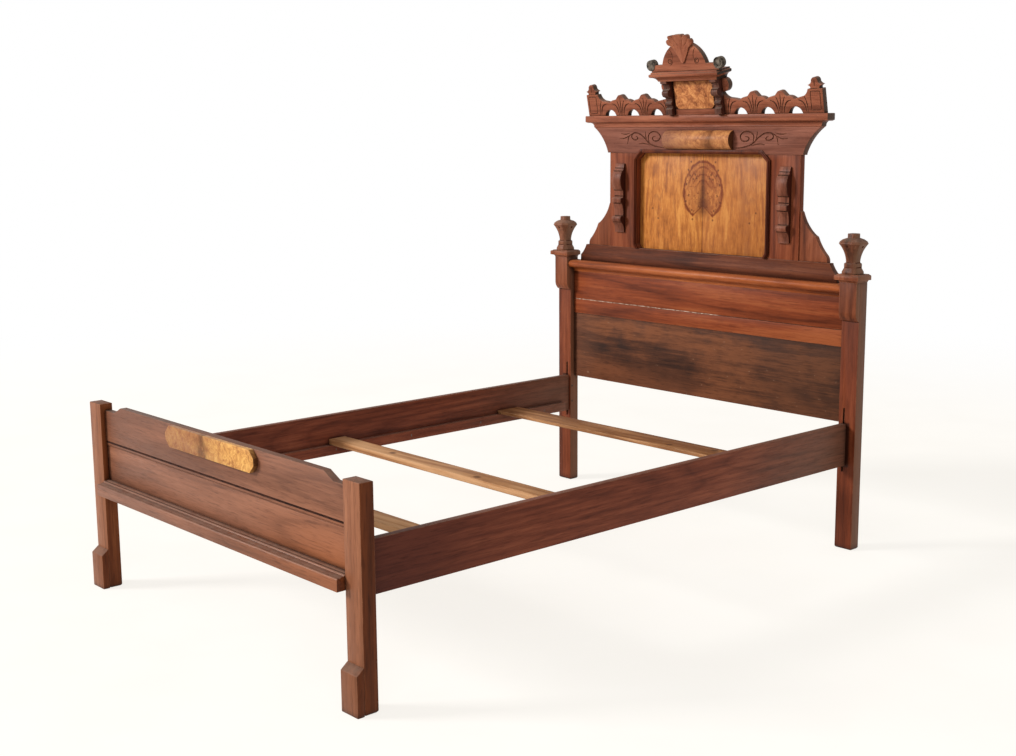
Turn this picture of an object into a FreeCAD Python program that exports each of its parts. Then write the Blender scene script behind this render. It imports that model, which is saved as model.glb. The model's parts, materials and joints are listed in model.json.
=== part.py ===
import FreeCAD
import Part
import math
import os

V = FreeCAD.Vector
os.makedirs("parts", exist_ok=True)

# Driving dimensions in millimetres. X is across the bed, Y runs from foot to head, Z is up.

# Shared sizes
post_outer = 686.0
rail_length = 1910.0
overrun = 5.0
groove_depth = 12.0
groove_width = 10.0
arris = 4.0
edge_ease = 1.5
quarter_turn = 90.0
eighth_turn = 45.0
full_turn = 360.0

# Head posts, blocks, caps and finials
head_post_width = 65.0
head_post_depth = 40.0
head_post_height = 876.0
block_proud = 19.0
block_height = 124.0
block_bevel_height = 31.0
block_fillet = 5.0
cap_overhang = 13.0
cap_thickness = 26.0
finial_height = 128.0
finial_half = 40.0
finial_tenon_half = 8.0
finial_corner_share = 1.125

# Boards between the head posts
board_thickness = 22.0
lower_board_height = 247.0
lower_board_setback = 3.0
middle_board_height = 54.0
board_gap = 1.4
upper_board_height = 104.6
roll_drop = 10.0
roll_height = 44.0
roll_proud = 14.0
roll_cove_share = 0.36
roll_cove_bend_share = 0.33

# Base board and wings
base_board_height = 62.0
base_end_gap = 37.0
base_sweep = 29.0
wing_reach = 112.0
wing_height = 164.0
wing_thickness = 18.0

# Upper frame
frame_inset = 191.0
stile_width = 134.0
frame_height = 344.0
panel_cant = 25.0
panel_foot_cant_width = 11.0
panel_foot_cant_height = 17.0
panel_lap = 26.0
panel_ground_thickness = 8.0
leaf_thickness = 1.2
bead_width = 13.0
bead_proud = 7.0
bead_joint_gap = 9.0
bead_step_share = 0.25
corbel_inset = 34.0
corbel_width = 44.0
corbel_foot = 55.0
corbel_height = 250.0
corbel_proud = 28.0

# Frieze and cornice
frieze_height = 90.0
frieze_ledge = 10.0
frieze_flare = 67.0
frieze_proud = 3.0
frieze_nib = 4.0
tablet_half_length = 150.0
tablet_foot = 14.0
tablet_height = 66.0
tablet_bulge = 27.0
cornice_height = 43.0
cornice_overhang = 35.0

# Galleries on the cornice
crown_lean = 11.5
lean_allowance = 6.0
gallery_thickness = 21.0
gallery_setback = 5.0
gallery_end_gap = 16.0
opening_tower_gap = 74.0
opening_end_gap = 54.0
gallery_openings = 3
opening_half = 28.0
opening_height = 26.0
valley_height = 50.5
palmette_height = 79.0
end_post_width = 57.0
end_post_height = 82.0
trefoil_height = 36.0
trefoil_half = 28.0

# Tower over the cornice
tower_half = 115.0
tower_height = 127.0
tower_lobe_reach = 36.0
tower_lobe_height = 43.0
tower_panel_half = 86.0
tower_panel_bottom = 26.0
tower_panel_height = 96.0
tower_panel_cant = 12.0
tower_panel_thickness = 8.0
plinth_half = 92.0
plinth_height = 25.0
plinth_proud = 6.0
bracket_inner = 96.0
bracket_width = 28.0
bracket_proud = 35.0
hood_height = 34.0
hood_half = 153.5
hood_half_bottom = 131.0
hood_front = 56.0
hood_front_bottom = 35.0

# Pediment on the hood
pediment_setback = 6.0
pediment_thickness = 20.0
pediment_half = 150.0
pediment_base = 23.0
arch_half = 97.0
arch_height = 75.0
palm_half = 55.0
palm_height = 99.0
palm_bottom = 26.0
palm_proud = 24.0
palm_tail_proud = 6.0
roundel_radius = 19.0
roundel_depth = 22.0

# Foot posts and blocks
foot_post_width = 67.0
foot_post_depth = 40.0
foot_post_height = 568.0
foot_block_proud = 21.0
foot_block_height = 105.0
foot_block_bevel_height = 17.0

# Foot boards
foot_board_setback = 15.0
foot_board_thickness = 22.0
foot_panel_thickness = 16.0
foot_panel_setback = 3.0
foot_tongue_setback = 3.0
foot_top_height = 568.0
foot_shoulder_drop = 20.0
foot_shoulder_inset = 59.0
foot_shoulder_slope = 40.0
foot_top_bottom = 440.0
foot_bead_height = 14.0
foot_bead_groove = 2.0
foot_bead_round = 6.0
foot_rail_bottom = 296.0
foot_rail_face = 29.0
foot_rail_height = 41.0
foot_rail_proud = 24.0
foot_tablet_half = 228.0
foot_tablet_height = 61.0
foot_tablet_drop = 0.5
foot_tablet_thickness = 14.0
foot_tablet_cant = 21.0

# Side rails, ledgers and slats
rail_inset = 34.0
rail_thickness = 22.0
rail_bottom = 279.0
rail_height = 138.0
ledger_width = 22.0
ledger_height = 33.0
ledger_foot = 5.0
ledger_end_gap = 40.0
slat_width = 66.0
slat_thickness = 20.0
wide_slat_width = 103.0
wide_slat_thickness = 12.0
slat_end_gap = 3.0
slat_foot_share = 0.1675
slat_middle_share = 0.4246
slat_head_share = 0.831

# Rail hooks, pins and cut nails
hook_thickness = 4.0
hook_side_gap = 1.0
hook_plate_length = 60.0
hook_plate_height = 104.0
hook_arm_reach = 24.0
hook_arm_height = 16.0
hook_throat = 14.0
hook_beak_drop = 12.0
hook_pitch = 60.0
pin_half = 3.0
pin_gap = 0.4
pin_length = 34.0
slot_bottom = 258.0
slot_top = 468.0
slot_depth = 27.0
nail_thickness = 3.0
nail_width = 5.0
nail_tip = 2.5
nail_head_width = 8.0
nail_head_depth = 2.0
nail_length = 38.0
nails_per_ledger = 6
nail_end = 110.0

# Places that follow from the sizes above
overall_length = foot_rail_proud + foot_post_depth + rail_length + head_post_depth + panel_ground_thickness
foot_front = foot_rail_proud - overall_length / 2
foot_back = foot_front + foot_post_depth
head_front = foot_back + rail_length
head_back = head_front + head_post_depth
head_inner = post_outer - head_post_width
foot_inner = post_outer - foot_post_width
board_front = head_back - board_thickness
block_front = head_front - block_proud
block_bottom = head_post_height - block_height
roll_top = head_post_height - roll_drop
roll_bottom = roll_top - roll_height
middle_board_top = roll_bottom - upper_board_height - board_gap
lower_board_top = middle_board_top - middle_board_height
lower_board_bottom = lower_board_top - lower_board_height
frame_bottom = roll_top + base_board_height
frame_top = frame_bottom + frame_height
base_half_bottom = head_inner - base_end_gap
base_half_top = base_half_bottom - base_sweep
stile_outer = head_inner - frame_inset
stile_inner = stile_outer - stile_width
bead_joint = stile_inner - panel_cant - bead_joint_gap
corbel_outer = stile_outer - corbel_inset
corbel_bottom = frame_bottom + corbel_foot
corbel_inner = corbel_outer - corbel_width
frieze_half_bottom = stile_outer + frieze_ledge
frieze_half_top = frieze_half_bottom + frieze_flare
cornice_half = frieze_half_top + cornice_overhang
frieze_front = board_front - frieze_proud
frieze_top = frame_top + frieze_height
cornice_top = frieze_top + cornice_height
gallery_front = head_front + gallery_setback
gallery_back = gallery_front + gallery_thickness
gallery_outer = cornice_half - gallery_end_gap
gallery_post_inner = gallery_outer - end_post_width
gallery_first_opening = tower_half + opening_tower_gap
gallery_last_opening = gallery_post_inner - opening_end_gap
gallery_pitch = (gallery_last_opening - gallery_first_opening) / (gallery_openings - 1)
hood_bottom = cornice_top + tower_height
hood_top = hood_bottom + hood_height
rail_outer = post_outer - rail_inset
rail_inner = rail_outer - rail_thickness
rail_middle = rail_outer - rail_thickness / 2
ledger_top = rail_bottom + ledger_foot + ledger_height
foot_board_front = foot_front + foot_board_setback
foot_rail_top = foot_rail_bottom + foot_rail_height
foot_shoulder_half = foot_inner - foot_shoulder_inset
foot_top_half = foot_shoulder_half - foot_shoulder_slope

# Hand-drawn outlines. Each pair is a share of the named width and height of its piece.
# One pair in a move is a straight line, and two pairs are an arc through the first to the second.
cap_edge_shares = [
    [(0, 0)], [(0.25, 0.22), (1, 0.3)], [(1, 0.52)], [(0.86, 0.86), (0.45, 0.92)], [(0.4, 1)]]
finial_shares = [
    [(0.74, 0)], [(0.74, 0.06)], [(0.6, 0.15)], [(0.6, 0.26)], [(0.48, 0.29)],
    [(0.63, 0.54), (1, 0.755)], [(0.92, 0.81)], [(0.72, 0.86)], [(0.42, 0.895)], [(0.41, 1)]]
base_end_shares = [[(0, 0)], [(0.03, 0.36)], [(0.5, 0.58), (1, 0.95)], [(1, 1)]]
wing_shares = [
    [(0, 0)], [(1, 0)], [(0.99, 0.08), (0.94, 0.14)], [(0.74, 0.3), (0.58, 0.5)], [(0.5, 0.53)],
    [(0.22, 0.73), (0.05, 0.97)], [(0, 1)]]
corbel_shares = [
    [(0, 0)], [(0.32, 0)], [(0.42, 0.1), (0.84, 0.16)], [(0.96, 0.2), (0.84, 0.235)], [(0.42, 0.24)],
    [(0.48, 0.36), (0.7, 0.43)], [(0.92, 0.435)], [(0.92, 0.5)], [(0.46, 0.51)], [(0.46, 0.6)],
    [(0.7, 0.63)], [(1, 0.76), (0.62, 0.9)], [(0.48, 0.9)], [(0.22, 1)], [(0, 1)]]
frieze_end_shares = [[(0, 0)], [(0.34, 0.5), (1, 1)]]
cornice_edge_shares = [
    [(0, 0)], [(0.1, 0.06)], [(0.2, 0.32), (0.72, 0.42)], [(1, 0.5)], [(1, 0.96)], [(0.96, 1)]]
hood_edge_shares = [
    [(0, 0)], [(0.3, 0.34), (0.86, 0.5)], [(1, 0.58)], [(1, 0.8)], [(0.74, 0.86)], [(0.74, 1)]]
trefoil_shares = [
    [(0.6, 0)], [(0.66, 0.2)], [(1, 0.34)], [(0.66, 0.44), (0.46, 0.62)], [(0.34, 0.9), (0, 1)],
    [(-0.34, 0.9), (-0.46, 0.62)], [(-0.66, 0.44), (-1, 0.34)], [(-0.66, 0.2)], [(-0.6, 0)]]
palmette_shares = [
    [(0.76, 0.3), (0.5, 0.38)], [(0.42, 0.38)], [(0.17, 0.9)], [(0, 1), (-0.17, 0.9)], [(-0.42, 0.38)],
    [(-0.5, 0.38)], [(-0.76, 0.3), (-1, 0)]]
sweep_shares = [[(1, 1)], [(0.84, 0.5), (0.54, 0.22)], [(0.3, 0.16), (0, 0)]]
bracket_shares = [
    [(0, 0)], [(0.62, 0)], [(0.62, 0.26)], [(0.4, 0.28)], [(0.4, 0.34)], [(0.58, 0.39), (0.4, 0.45)],
    [(0.44, 0.53), (0.7, 0.58)], [(0.92, 0.68), (0.68, 0.77)], [(0.52, 0.78)], [(0.64, 0.89), (0.96, 0.94)],
    [(0.96, 1)], [(0, 1)]]
palm_shares = [
    [(0, 0)], [(0.14, 0.06)], [(0.62, 0.52)], [(0.86, 0.62)], [(1.04, 0.74), (0.86, 0.84)], [(0.74, 0.8)],
    [(0.74, 0.95), (0.46, 0.94)], [(0.38, 0.87)], [(0.22, 1.02), (0, 1)], [(-0.22, 1.02), (-0.38, 0.87)],
    [(-0.46, 0.94)], [(-0.74, 0.95), (-0.74, 0.8)], [(-0.86, 0.84)], [(-1.04, 0.74), (-0.86, 0.62)],
    [(-0.62, 0.52)], [(-0.14, 0.06)]]
roundel_shares = [
    [(0, 0)], [(1, 0)], [(1, 1)], [(0, 0.6)]]
foot_rail_top_shares = [
    [(0, 0)], [(0.06, 0.3), (0.2, 0.3)], [(0.22, 0.2)], [(0.36, 0.44), (0.52, 0.56)], [(0.54, 0.46)],
    [(0.62, 0.82), (0.76, 0.9)], [(0.78, 0.8)], [(0.88, 1), (1, 1)]]


# Drawing helpers
def on_xz(y):
    return lambda point: V(point[0], y, point[1])


def on_yz(x):
    return lambda point: V(x, point[0], point[1])


def face(place, moves):
    edges = []
    here = moves[0][0]
    for move in moves[1:] + [moves[0]]:
        there = move[-1]
        if there != here:
            if len(move) == 1:
                edges.append(Part.LineSegment(place(here), place(there)).toShape())
            else:
                edges.append(Part.Arc(place(here), place(move[0]), place(there)).toShape())
        here = there
    return Part.Face(Part.Wire(edges))


def spread(shares, corner, size):
    moves = []
    for move in shares:
        moves.append([(corner[0] + u * size[0], corner[1] + v * size[1]) for u, v in move])
    return moves


def backwards(moves):
    turned = [[moves[-1][-1]]]
    for index in range(len(moves) - 1, 0, -1):
        turned.append(moves[index][:-1] + [moves[index - 1][-1]])
    return turned


def mirrored_moves(moves):
    return [[(-u, v) for u, v in move] for move in moves]


def prism_x(moves, x_low, x_high):
    return face(on_yz(x_low), moves).extrude(V(x_high - x_low, 0, 0))


def prism_y(moves, y_low, y_high):
    return face(on_xz(y_low), moves).extrude(V(0, y_high - y_low, 0))


def box(x_low, x_high, y_low, y_high, z_low, z_high):
    return Part.makeBox(x_high - x_low, y_high - y_low, z_high - z_low, V(x_low, y_low, z_low))


def flipped(shape):
    return shape.mirror(V(0, 0, 0), V(1, 0, 0))


def both_ways(moves):
    return backwards(mirrored_moves(moves)) + moves


def save(node, shape):
    shape.exportStep("parts/" + node + ".step")


def save_pair(name, right_shape):
    save(name + "_right", right_shape)
    save(name + "_left", flipped(right_shape))


def leaned(shape):
    turned = shape.copy()
    turned.rotate(V(0, gallery_back, cornice_top), V(1, 0, 0), crown_lean)
    return turned


def leaned_on_cornice(shape):
    ground = box(-cornice_half, cornice_half, head_front - cornice_half, head_back + cornice_half,
                 frame_top, cornice_top)
    return leaned(shape).cut(ground)


# Head posts: grooved for the boards, slotted for the hooks and pierced by square iron pins
def pin_heights():
    middle = rail_bottom + rail_height / 2
    arms = [middle - hook_pitch / 2, middle + hook_pitch / 2]
    return [arm - pin_gap - pin_half for arm in arms]


def square_pins(x_inner, y):
    pins = []
    for z in pin_heights():
        low, high = z - pin_half, z + pin_half
        pins.append(box(x_inner, x_inner + pin_length, y - pin_half, y + pin_half, low, high))
    return pins


def hook_slot(y_low, y_high):
    half = hook_thickness / 2 + hook_side_gap
    return box(rail_middle - half, rail_middle + half, y_low, y_high, slot_bottom, slot_top)


def post(x_low, y_low, width, depth, height):
    block = box(x_low, x_low + width, y_low, y_low + depth, 0, height)
    low_edges = [edge for edge in block.Edges if edge.BoundBox.ZMax < arris]
    return block.makeChamfer(arris, low_edges)


head_pin_y = head_front + hook_throat / 2 + edge_ease
foot_pin_y = foot_back - hook_throat / 2 - edge_ease
groove_low = head_back - board_thickness / 2 - groove_width / 2
groove_high = groove_low + groove_width
head_post = post(head_inner, head_front, head_post_width, head_post_depth, head_post_height)
head_post = head_post.cut(
    box(head_inner - overrun, head_inner + groove_depth, groove_low, groove_high, lower_board_bottom,
        roll_top))
head_post = head_post.cut(hook_slot(head_front - overrun, head_front + slot_depth))
head_pins = square_pins(head_inner, head_pin_y)
for pin in head_pins:
    head_post = head_post.cut(pin)
save_pair("head_post", head_post)


# Applied blocks: straight with a rounded bevel at the bottom
block_shape = prism_x(
    [[(head_front, block_bottom)],
     [(head_front - block_fillet, block_bottom)],
     [(block_front + block_fillet / 2, block_bottom + block_bevel_height / 2),
      (block_front, block_bottom + block_bevel_height)],
     [(block_front, head_post_height)],
     [(head_front, head_post_height)]],
    head_inner, post_outer)
save_pair("head_post_block", block_shape)


# Caps: one edge moulding runs round three sides and mitres at the corners
cap_bottom = head_post_height
cap_top = cap_bottom + cap_thickness
cap_edge = (cap_overhang, cap_thickness)
cap_right_edge = spread(cap_edge_shares, (post_outer, cap_bottom), cap_edge)
cap_left_edge = spread(cap_edge_shares, (head_inner, cap_bottom), (-cap_overhang, cap_thickness))
cap_front_edge = spread(cap_edge_shares, (block_front, cap_bottom), (-cap_overhang, cap_thickness))
cap_middle_x = (head_inner + post_outer) / 2
cap_middle_y = (block_front - cap_overhang + head_back) / 2
cap = prism_y(cap_right_edge + backwards(cap_left_edge), block_front - cap_overhang, head_back)
cap = cap.common(prism_x(cap_front_edge + [[(head_back, cap_top)], [(head_back, cap_bottom)]],
                         head_inner - cap_overhang, post_outer + cap_overhang))
finial_tenon = box(cap_middle_x - finial_tenon_half, cap_middle_x + finial_tenon_half,
                   cap_middle_y - finial_tenon_half, cap_middle_y + finial_tenon_half, cap_bottom, cap_top)
save_pair("head_post_cap", cap.cut(finial_tenon))


# Finials: a square vase with its corners taken off, on a square tenon
def vase(half):
    side = spread(finial_shares, (0, cap_top), (half, finial_height))
    wall = prism_y(both_ways(side), -half, half)
    turned = wall.copy()
    turned.rotate(V(0, 0, 0), V(0, 0, 1), quarter_turn)
    return wall.common(turned)


corner_vase = vase(finial_half * finial_corner_share)
corner_vase.rotate(V(0, 0, 0), V(0, 0, 1), eighth_turn)
finial = vase(finial_half).common(corner_vase)
finial.translate(V(cap_middle_x, cap_middle_y, 0))
save_pair("head_finial", finial.fuse(finial_tenon).removeSplitter())


# Boards between the head posts, with tongues in the post grooves
def tongued(shape, z_low, z_high):
    reach = head_inner + groove_depth
    tongue = box(-reach, reach, groove_low, groove_high, z_low, z_high)
    return shape.fuse(tongue).removeSplitter()


def head_board(z_low, z_high, front):
    return tongued(box(-head_inner, head_inner, front, head_back, z_low, z_high), z_low, z_high)


save("head_lower_board", head_board(lower_board_bottom, lower_board_top, board_front + lower_board_setback))
save("head_middle_board", head_board(lower_board_top, middle_board_top, board_front))
save("head_upper_board", head_board(middle_board_top + board_gap, roll_bottom, board_front))


# Roll rail: a half-round nose over a cove
roll_nose = head_front - roll_proud
roll_lip = roll_bottom + roll_height * roll_cove_share
roll_round = (roll_top - roll_lip) / 2
roll_bend = roll_round * roll_cove_bend_share
roll_profile = [
    [(head_back, roll_bottom)],
    [(board_front - edge_ease, roll_bottom)],
    [(board_front - edge_ease - roll_bend, roll_lip - roll_bend), (roll_nose + roll_round, roll_lip)],
    [(roll_nose, roll_lip + roll_round), (roll_nose + roll_round, roll_top)],
    [(head_back, roll_top)]]
roll_rail = tongued(prism_x(roll_profile, -head_inner, head_inner), roll_bottom, roll_top)
save("head_roll_rail", roll_rail)


# Base board with swept ends
base_end = spread(base_end_shares, (base_half_bottom, roll_top),
                  (base_half_top - base_half_bottom, base_board_height))
save("head_base_board", prism_y(both_ways(base_end), board_front, head_back))


# Wings beside the stiles
wing = prism_y(spread(wing_shares, (stile_outer, frame_bottom), (wing_reach, wing_height)),
               head_back - wing_thickness, head_back)
save_pair("wing", wing)


# Stiles and the opening that they frame
opening_side = [
    [(stile_inner - panel_foot_cant_width, frame_bottom)],
    [(stile_inner, frame_bottom + panel_foot_cant_height)],
    [(stile_inner, frame_top - panel_cant)],
    [(stile_inner - panel_cant, frame_top)]]
stile_outline = opening_side + [[(stile_outer, frame_top)], [(stile_outer, frame_bottom)]]
stile = prism_y(stile_outline, board_front, head_back)
save_pair("stile", stile)


# Panel: a ground fixed behind the frame and two matched leaves glued to its face
ground_half = stile_inner + panel_lap
save("panel_ground", box(-ground_half, ground_half, head_back, head_back + panel_ground_thickness,
                         frame_bottom - panel_lap, frame_top + panel_lap))
leaf = prism_y(opening_side + [[(0, frame_top)], [(0, frame_bottom)]], head_back - leaf_thickness, head_back)
save_pair("burl_leaf", leaf)


# Bead round the sides and top of the opening, in three lengths
def bead_outline(offset):
    slope = offset * math.tan(math.radians(eighth_turn / 2))
    cant_run = math.hypot(panel_foot_cant_width, panel_foot_cant_height)
    foot_shift = offset * (cant_run - panel_foot_cant_height) / panel_foot_cant_width
    foot_x = stile_inner - panel_foot_cant_width + offset * cant_run / panel_foot_cant_height
    return [(foot_x, frame_bottom),
            (stile_inner + offset, frame_bottom + panel_foot_cant_height - foot_shift),
            (stile_inner + offset, frame_top - panel_cant + slope),
            (stile_inner - panel_cant + slope, frame_top + offset),
            (0, frame_top + offset)]


def bead_length(low_offset, high_offset, y_low, y_high):
    inner = bead_outline(low_offset)
    outer = bead_outline(high_offset)
    ring = inner + outer[::-1]
    return prism_y([[point] for point in ring], y_low, y_high)


bead_step = bead_width * bead_step_share
bead_half = bead_length(0, bead_width, frieze_front - bead_proud / 2, board_front)
bead_half = bead_half.fuse(bead_length(bead_step, bead_width - bead_step, frieze_front - bead_proud,
                                       frieze_front - bead_proud / 2)).removeSplitter()
frieze_block = box(-frieze_half_top, frieze_half_top, frieze_front, head_back, frame_top, frieze_top)
bead_half = bead_half.cut(frieze_block)
bead_side_space = box(bead_joint, stile_outer, frieze_front - bead_width, head_back, frame_bottom,
                      frieze_top)
save_pair("panel_bead", bead_half.common(bead_side_space))
bead_top_half = bead_half.cut(bead_side_space)
save("panel_bead_top", bead_top_half.fuse(flipped(bead_top_half)).removeSplitter())


# Corbels on the stiles
corbel = prism_x(spread(corbel_shares, (board_front, corbel_bottom), (-corbel_proud, corbel_height)),
                 corbel_inner, corbel_outer)
save_pair("corbel", corbel)


# Frieze board with flared ends and its half-round tablet
frieze_end = [[(frieze_half_bottom, frame_top)]]
frieze_end += spread(frieze_end_shares, (frieze_half_bottom, frame_top + frieze_nib),
                     (frieze_half_top - frieze_half_bottom, frieze_height - frieze_nib))
save("frieze_board", prism_y(both_ways(frieze_end), frieze_front, head_back))
tablet_low = frame_top + tablet_foot
tablet_profile = [
    [(frieze_front, tablet_low)],
    [(frieze_front - tablet_bulge, tablet_low + tablet_height / 2),
     (frieze_front, tablet_low + tablet_height)]]
save("frieze_tablet", prism_x(tablet_profile, -tablet_half_length, tablet_half_length))


# Main cornice, returned at both ends
cornice_end = spread(cornice_edge_shares, (frieze_half_top, frieze_top),
                     (cornice_half - frieze_half_top, cornice_height))
cornice_face = spread(cornice_edge_shares, (frieze_front, frieze_top),
                      (head_front - frieze_front, cornice_height))
cornice = prism_y(both_ways(cornice_end), head_front, head_back)
cornice_section = cornice_face + [[(head_back, cornice_top)], [(head_back, frieze_top)]]
cornice = cornice.common(prism_x(cornice_section, -cornice_half, cornice_half))
save("cornice", cornice)


# Galleries: pierced palmettes between the tower and an end post with a trefoil top
def palmette(middle):
    return spread(palmette_shares, (middle, cornice_top + valley_height),
                  (gallery_pitch / 2, palmette_height - valley_height))


def gallery_outline():
    low = cornice_top - lean_allowance
    valley = cornice_top + valley_height
    moves = [[(tower_half, low)]]
    for index in range(gallery_openings):
        middle = gallery_first_opening + index * gallery_pitch
        moves.append([(middle - opening_half, low)])
        moves.append([(middle - opening_half, cornice_top)])
        moves.append([(middle, cornice_top + opening_height), (middle + opening_half, cornice_top)])
        moves.append([(middle + opening_half, low)])
    moves.append([(gallery_outer, low)])
    moves.append([(gallery_outer, cornice_top + end_post_height)])
    trefoil_middle = gallery_outer - end_post_width / 2
    moves += spread(trefoil_shares, (trefoil_middle, cornice_top + end_post_height),
                    (trefoil_half, trefoil_height))
    moves += spread(sweep_shares, (gallery_last_opening, valley),
                    (gallery_post_inner - gallery_last_opening, end_post_height - valley_height))
    for index in range(1, gallery_openings):
        moves += palmette(gallery_last_opening + gallery_pitch / 2 - index * gallery_pitch)
    tower_sweep = spread(sweep_shares, (gallery_first_opening, valley),
                         (tower_half - gallery_first_opening, tower_height - tower_lobe_height - valley_height))
    return moves + backwards(tower_sweep)[1:]


gallery = prism_y(gallery_outline(), gallery_front, gallery_back)
save_pair("gallery", leaned_on_cornice(gallery))


# Tower: board, plinth, burl panel, brackets and hood
tower_low = cornice_top - lean_allowance
lobe_foot = hood_bottom - tower_lobe_height
tower_side = [
    [(tower_half, tower_low)],
    [(tower_half, lobe_foot)],
    [(tower_half + tower_lobe_reach, lobe_foot + tower_lobe_height / 2), (hood_half_bottom, hood_bottom)]]
tower_board = prism_y(both_ways(tower_side), gallery_front, gallery_back)
save("tower_board", leaned_on_cornice(tower_board))
plinth = box(-plinth_half, plinth_half, gallery_front - plinth_proud, gallery_front, tower_low,
             cornice_top + plinth_height)
save("tower_plinth", leaned_on_cornice(plinth))
panel_low = cornice_top + tower_panel_bottom
panel_high = panel_low + tower_panel_height
tower_panel_side = [
    [(tower_panel_half - tower_panel_cant, panel_low)],
    [(tower_panel_half, panel_low + tower_panel_cant)],
    [(tower_panel_half, panel_high)]]
tower_panel = prism_y(both_ways(tower_panel_side), gallery_front - tower_panel_thickness, gallery_front)
save("tower_burl_panel", leaned(tower_panel))
bracket_outline = spread(bracket_shares, (gallery_front, tower_low),
                         (-bracket_proud, hood_bottom - tower_low))
bracket = prism_x(bracket_outline, bracket_inner, bracket_inner + bracket_width)
save_pair("tower_bracket", leaned_on_cornice(bracket))
hood_end = spread(hood_edge_shares, (hood_half_bottom, hood_bottom),
                  (hood_half - hood_half_bottom, hood_height))
hood_face = spread(hood_edge_shares, (gallery_front - hood_front_bottom, hood_bottom),
                   (hood_front_bottom - hood_front, hood_height))
hood = prism_y(both_ways(hood_end), gallery_front - hood_front, gallery_back)
hood = hood.common(
    prism_x(hood_face + [[(gallery_back, hood_top)], [(gallery_back, hood_bottom)]], -hood_half, hood_half))
save("tower_hood", leaned(hood))


# Pediment: an arched board with a carved palmette and a turned roundel at each end
pediment_front = gallery_front - hood_front_bottom - pediment_setback
arch_foot = hood_top + pediment_base
pediment_side = [
    [(pediment_half, hood_top)],
    [(pediment_half, arch_foot)],
    [(arch_half, arch_foot)]]
pediment_top = [[(0, arch_foot + arch_height), (-arch_half, arch_foot)]]
pediment_moves = pediment_side + pediment_top + [[(-pediment_half, arch_foot)], [(-pediment_half, hood_top)]]
pediment = prism_y(pediment_moves, pediment_front, pediment_front + pediment_thickness)


def roundel(x):
    profile = spread(roundel_shares, (0, 0), (roundel_radius, roundel_depth))
    disc = face(on_xz(0), profile).revolve(V(0, 0, 0), V(0, 0, 1), full_turn)
    disc.rotate(V(0, 0, 0), V(1, 0, 0), quarter_turn)
    disc.translate(V(x, pediment_front + pediment_thickness, arch_foot))
    return disc


roundel_right = roundel(pediment_half)
roundel_space = Part.makeCylinder(roundel_radius, pediment_thickness,
                                  V(pediment_half, pediment_front, arch_foot), V(0, 1, 0))
pediment = pediment.cut(roundel_space).cut(flipped(roundel_space))
save("pediment", leaned(pediment))
save_pair("roundel", leaned(roundel_right))
palm_low = hood_top + palm_bottom
palm_profile = [
    [(pediment_front, palm_low)],
    [(pediment_front - palm_tail_proud, palm_low)],
    [(pediment_front - palm_tail_proud, palm_low + palm_height / 2),
     (pediment_front - palm_proud, palm_low + palm_height)],
    [(pediment_front, palm_low + palm_height)]]
palm = prism_y(spread(palm_shares, (0, palm_low), (palm_half, palm_height)), pediment_front - palm_proud,
               pediment_front)
palm = palm.common(prism_x(palm_profile, -palm_half - overrun, palm_half + overrun))
save("palmette", leaned(palm))


# Foot posts with their floor blocks
foot_groove_low = foot_board_front + foot_tongue_setback
foot_groove_high = foot_groove_low + groove_width
foot_shoulder = foot_top_height - foot_shoulder_drop
foot_post = post(foot_inner, foot_front, foot_post_width, foot_post_depth, foot_post_height)
foot_post = foot_post.cut(
    box(foot_inner - overrun, foot_inner + groove_depth, foot_groove_low, foot_groove_high, foot_rail_bottom,
        foot_shoulder))
foot_post = foot_post.cut(hook_slot(foot_back - slot_depth, foot_back + overrun))
foot_pins = square_pins(foot_inner, foot_pin_y)
for pin in foot_pins:
    foot_post = foot_post.cut(pin)
save_pair("foot_post", foot_post)
foot_block_front = foot_front - foot_block_proud
foot_block = prism_x(
    [[(foot_front, 0)],
     [(foot_block_front, 0)],
     [(foot_block_front, foot_block_height)],
     [(foot_front, foot_block_height + foot_block_bevel_height)]],
    foot_inner, post_outer)
save_pair("foot_block", foot_block)


# Foot boards: a shouldered top board with a bead, a plain panel and a reeded bottom rail
def foot_tongued(shape, z_low, z_high):
    reach = foot_inner + groove_depth
    tongue = box(-reach, reach, foot_groove_low, foot_groove_high, z_low, z_high)
    return shape.fuse(tongue).removeSplitter()


foot_board_back = foot_board_front + foot_board_thickness
foot_top_side = [
    [(foot_inner, foot_top_bottom)],
    [(foot_inner, foot_shoulder)],
    [(foot_shoulder_half, foot_shoulder)],
    [(foot_top_half, foot_top_height)]]
foot_top = prism_y(both_ways(foot_top_side), foot_board_front, foot_board_back)
bead_line = foot_top_bottom + foot_bead_height
bead_groove = [
    [(foot_board_front, bead_line - foot_bead_groove)],
    [(foot_board_front + foot_bead_groove, bead_line)],
    [(foot_board_front, bead_line + foot_bead_groove)]]
bead_bend = foot_bead_round * (1 - math.cos(math.radians(eighth_turn)))
bead_corner = [
    [(foot_board_front, foot_top_bottom)],
    [(foot_board_front, foot_top_bottom + foot_bead_round)],
    [(foot_board_front + bead_bend, foot_top_bottom + bead_bend),
     (foot_board_front + foot_bead_round, foot_top_bottom)]]
for cutter in (bead_groove, bead_corner):
    foot_top = foot_top.cut(prism_x(cutter, -foot_inner, foot_inner))
save("foot_top_board", foot_tongued(foot_top, foot_top_bottom, foot_shoulder))
foot_panel_front = foot_board_front + foot_panel_setback
foot_panel = box(-foot_inner, foot_inner, foot_panel_front, foot_panel_front + foot_panel_thickness,
                 foot_rail_top, foot_top_bottom)
save("foot_panel", foot_tongued(foot_panel, foot_rail_top, foot_top_bottom))
foot_rail_front = foot_front - foot_rail_proud
foot_rail_shoulder = foot_rail_bottom + foot_rail_face
foot_rail_profile = [[(foot_board_back, foot_rail_bottom)], [(foot_rail_front, foot_rail_bottom)]]
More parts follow.
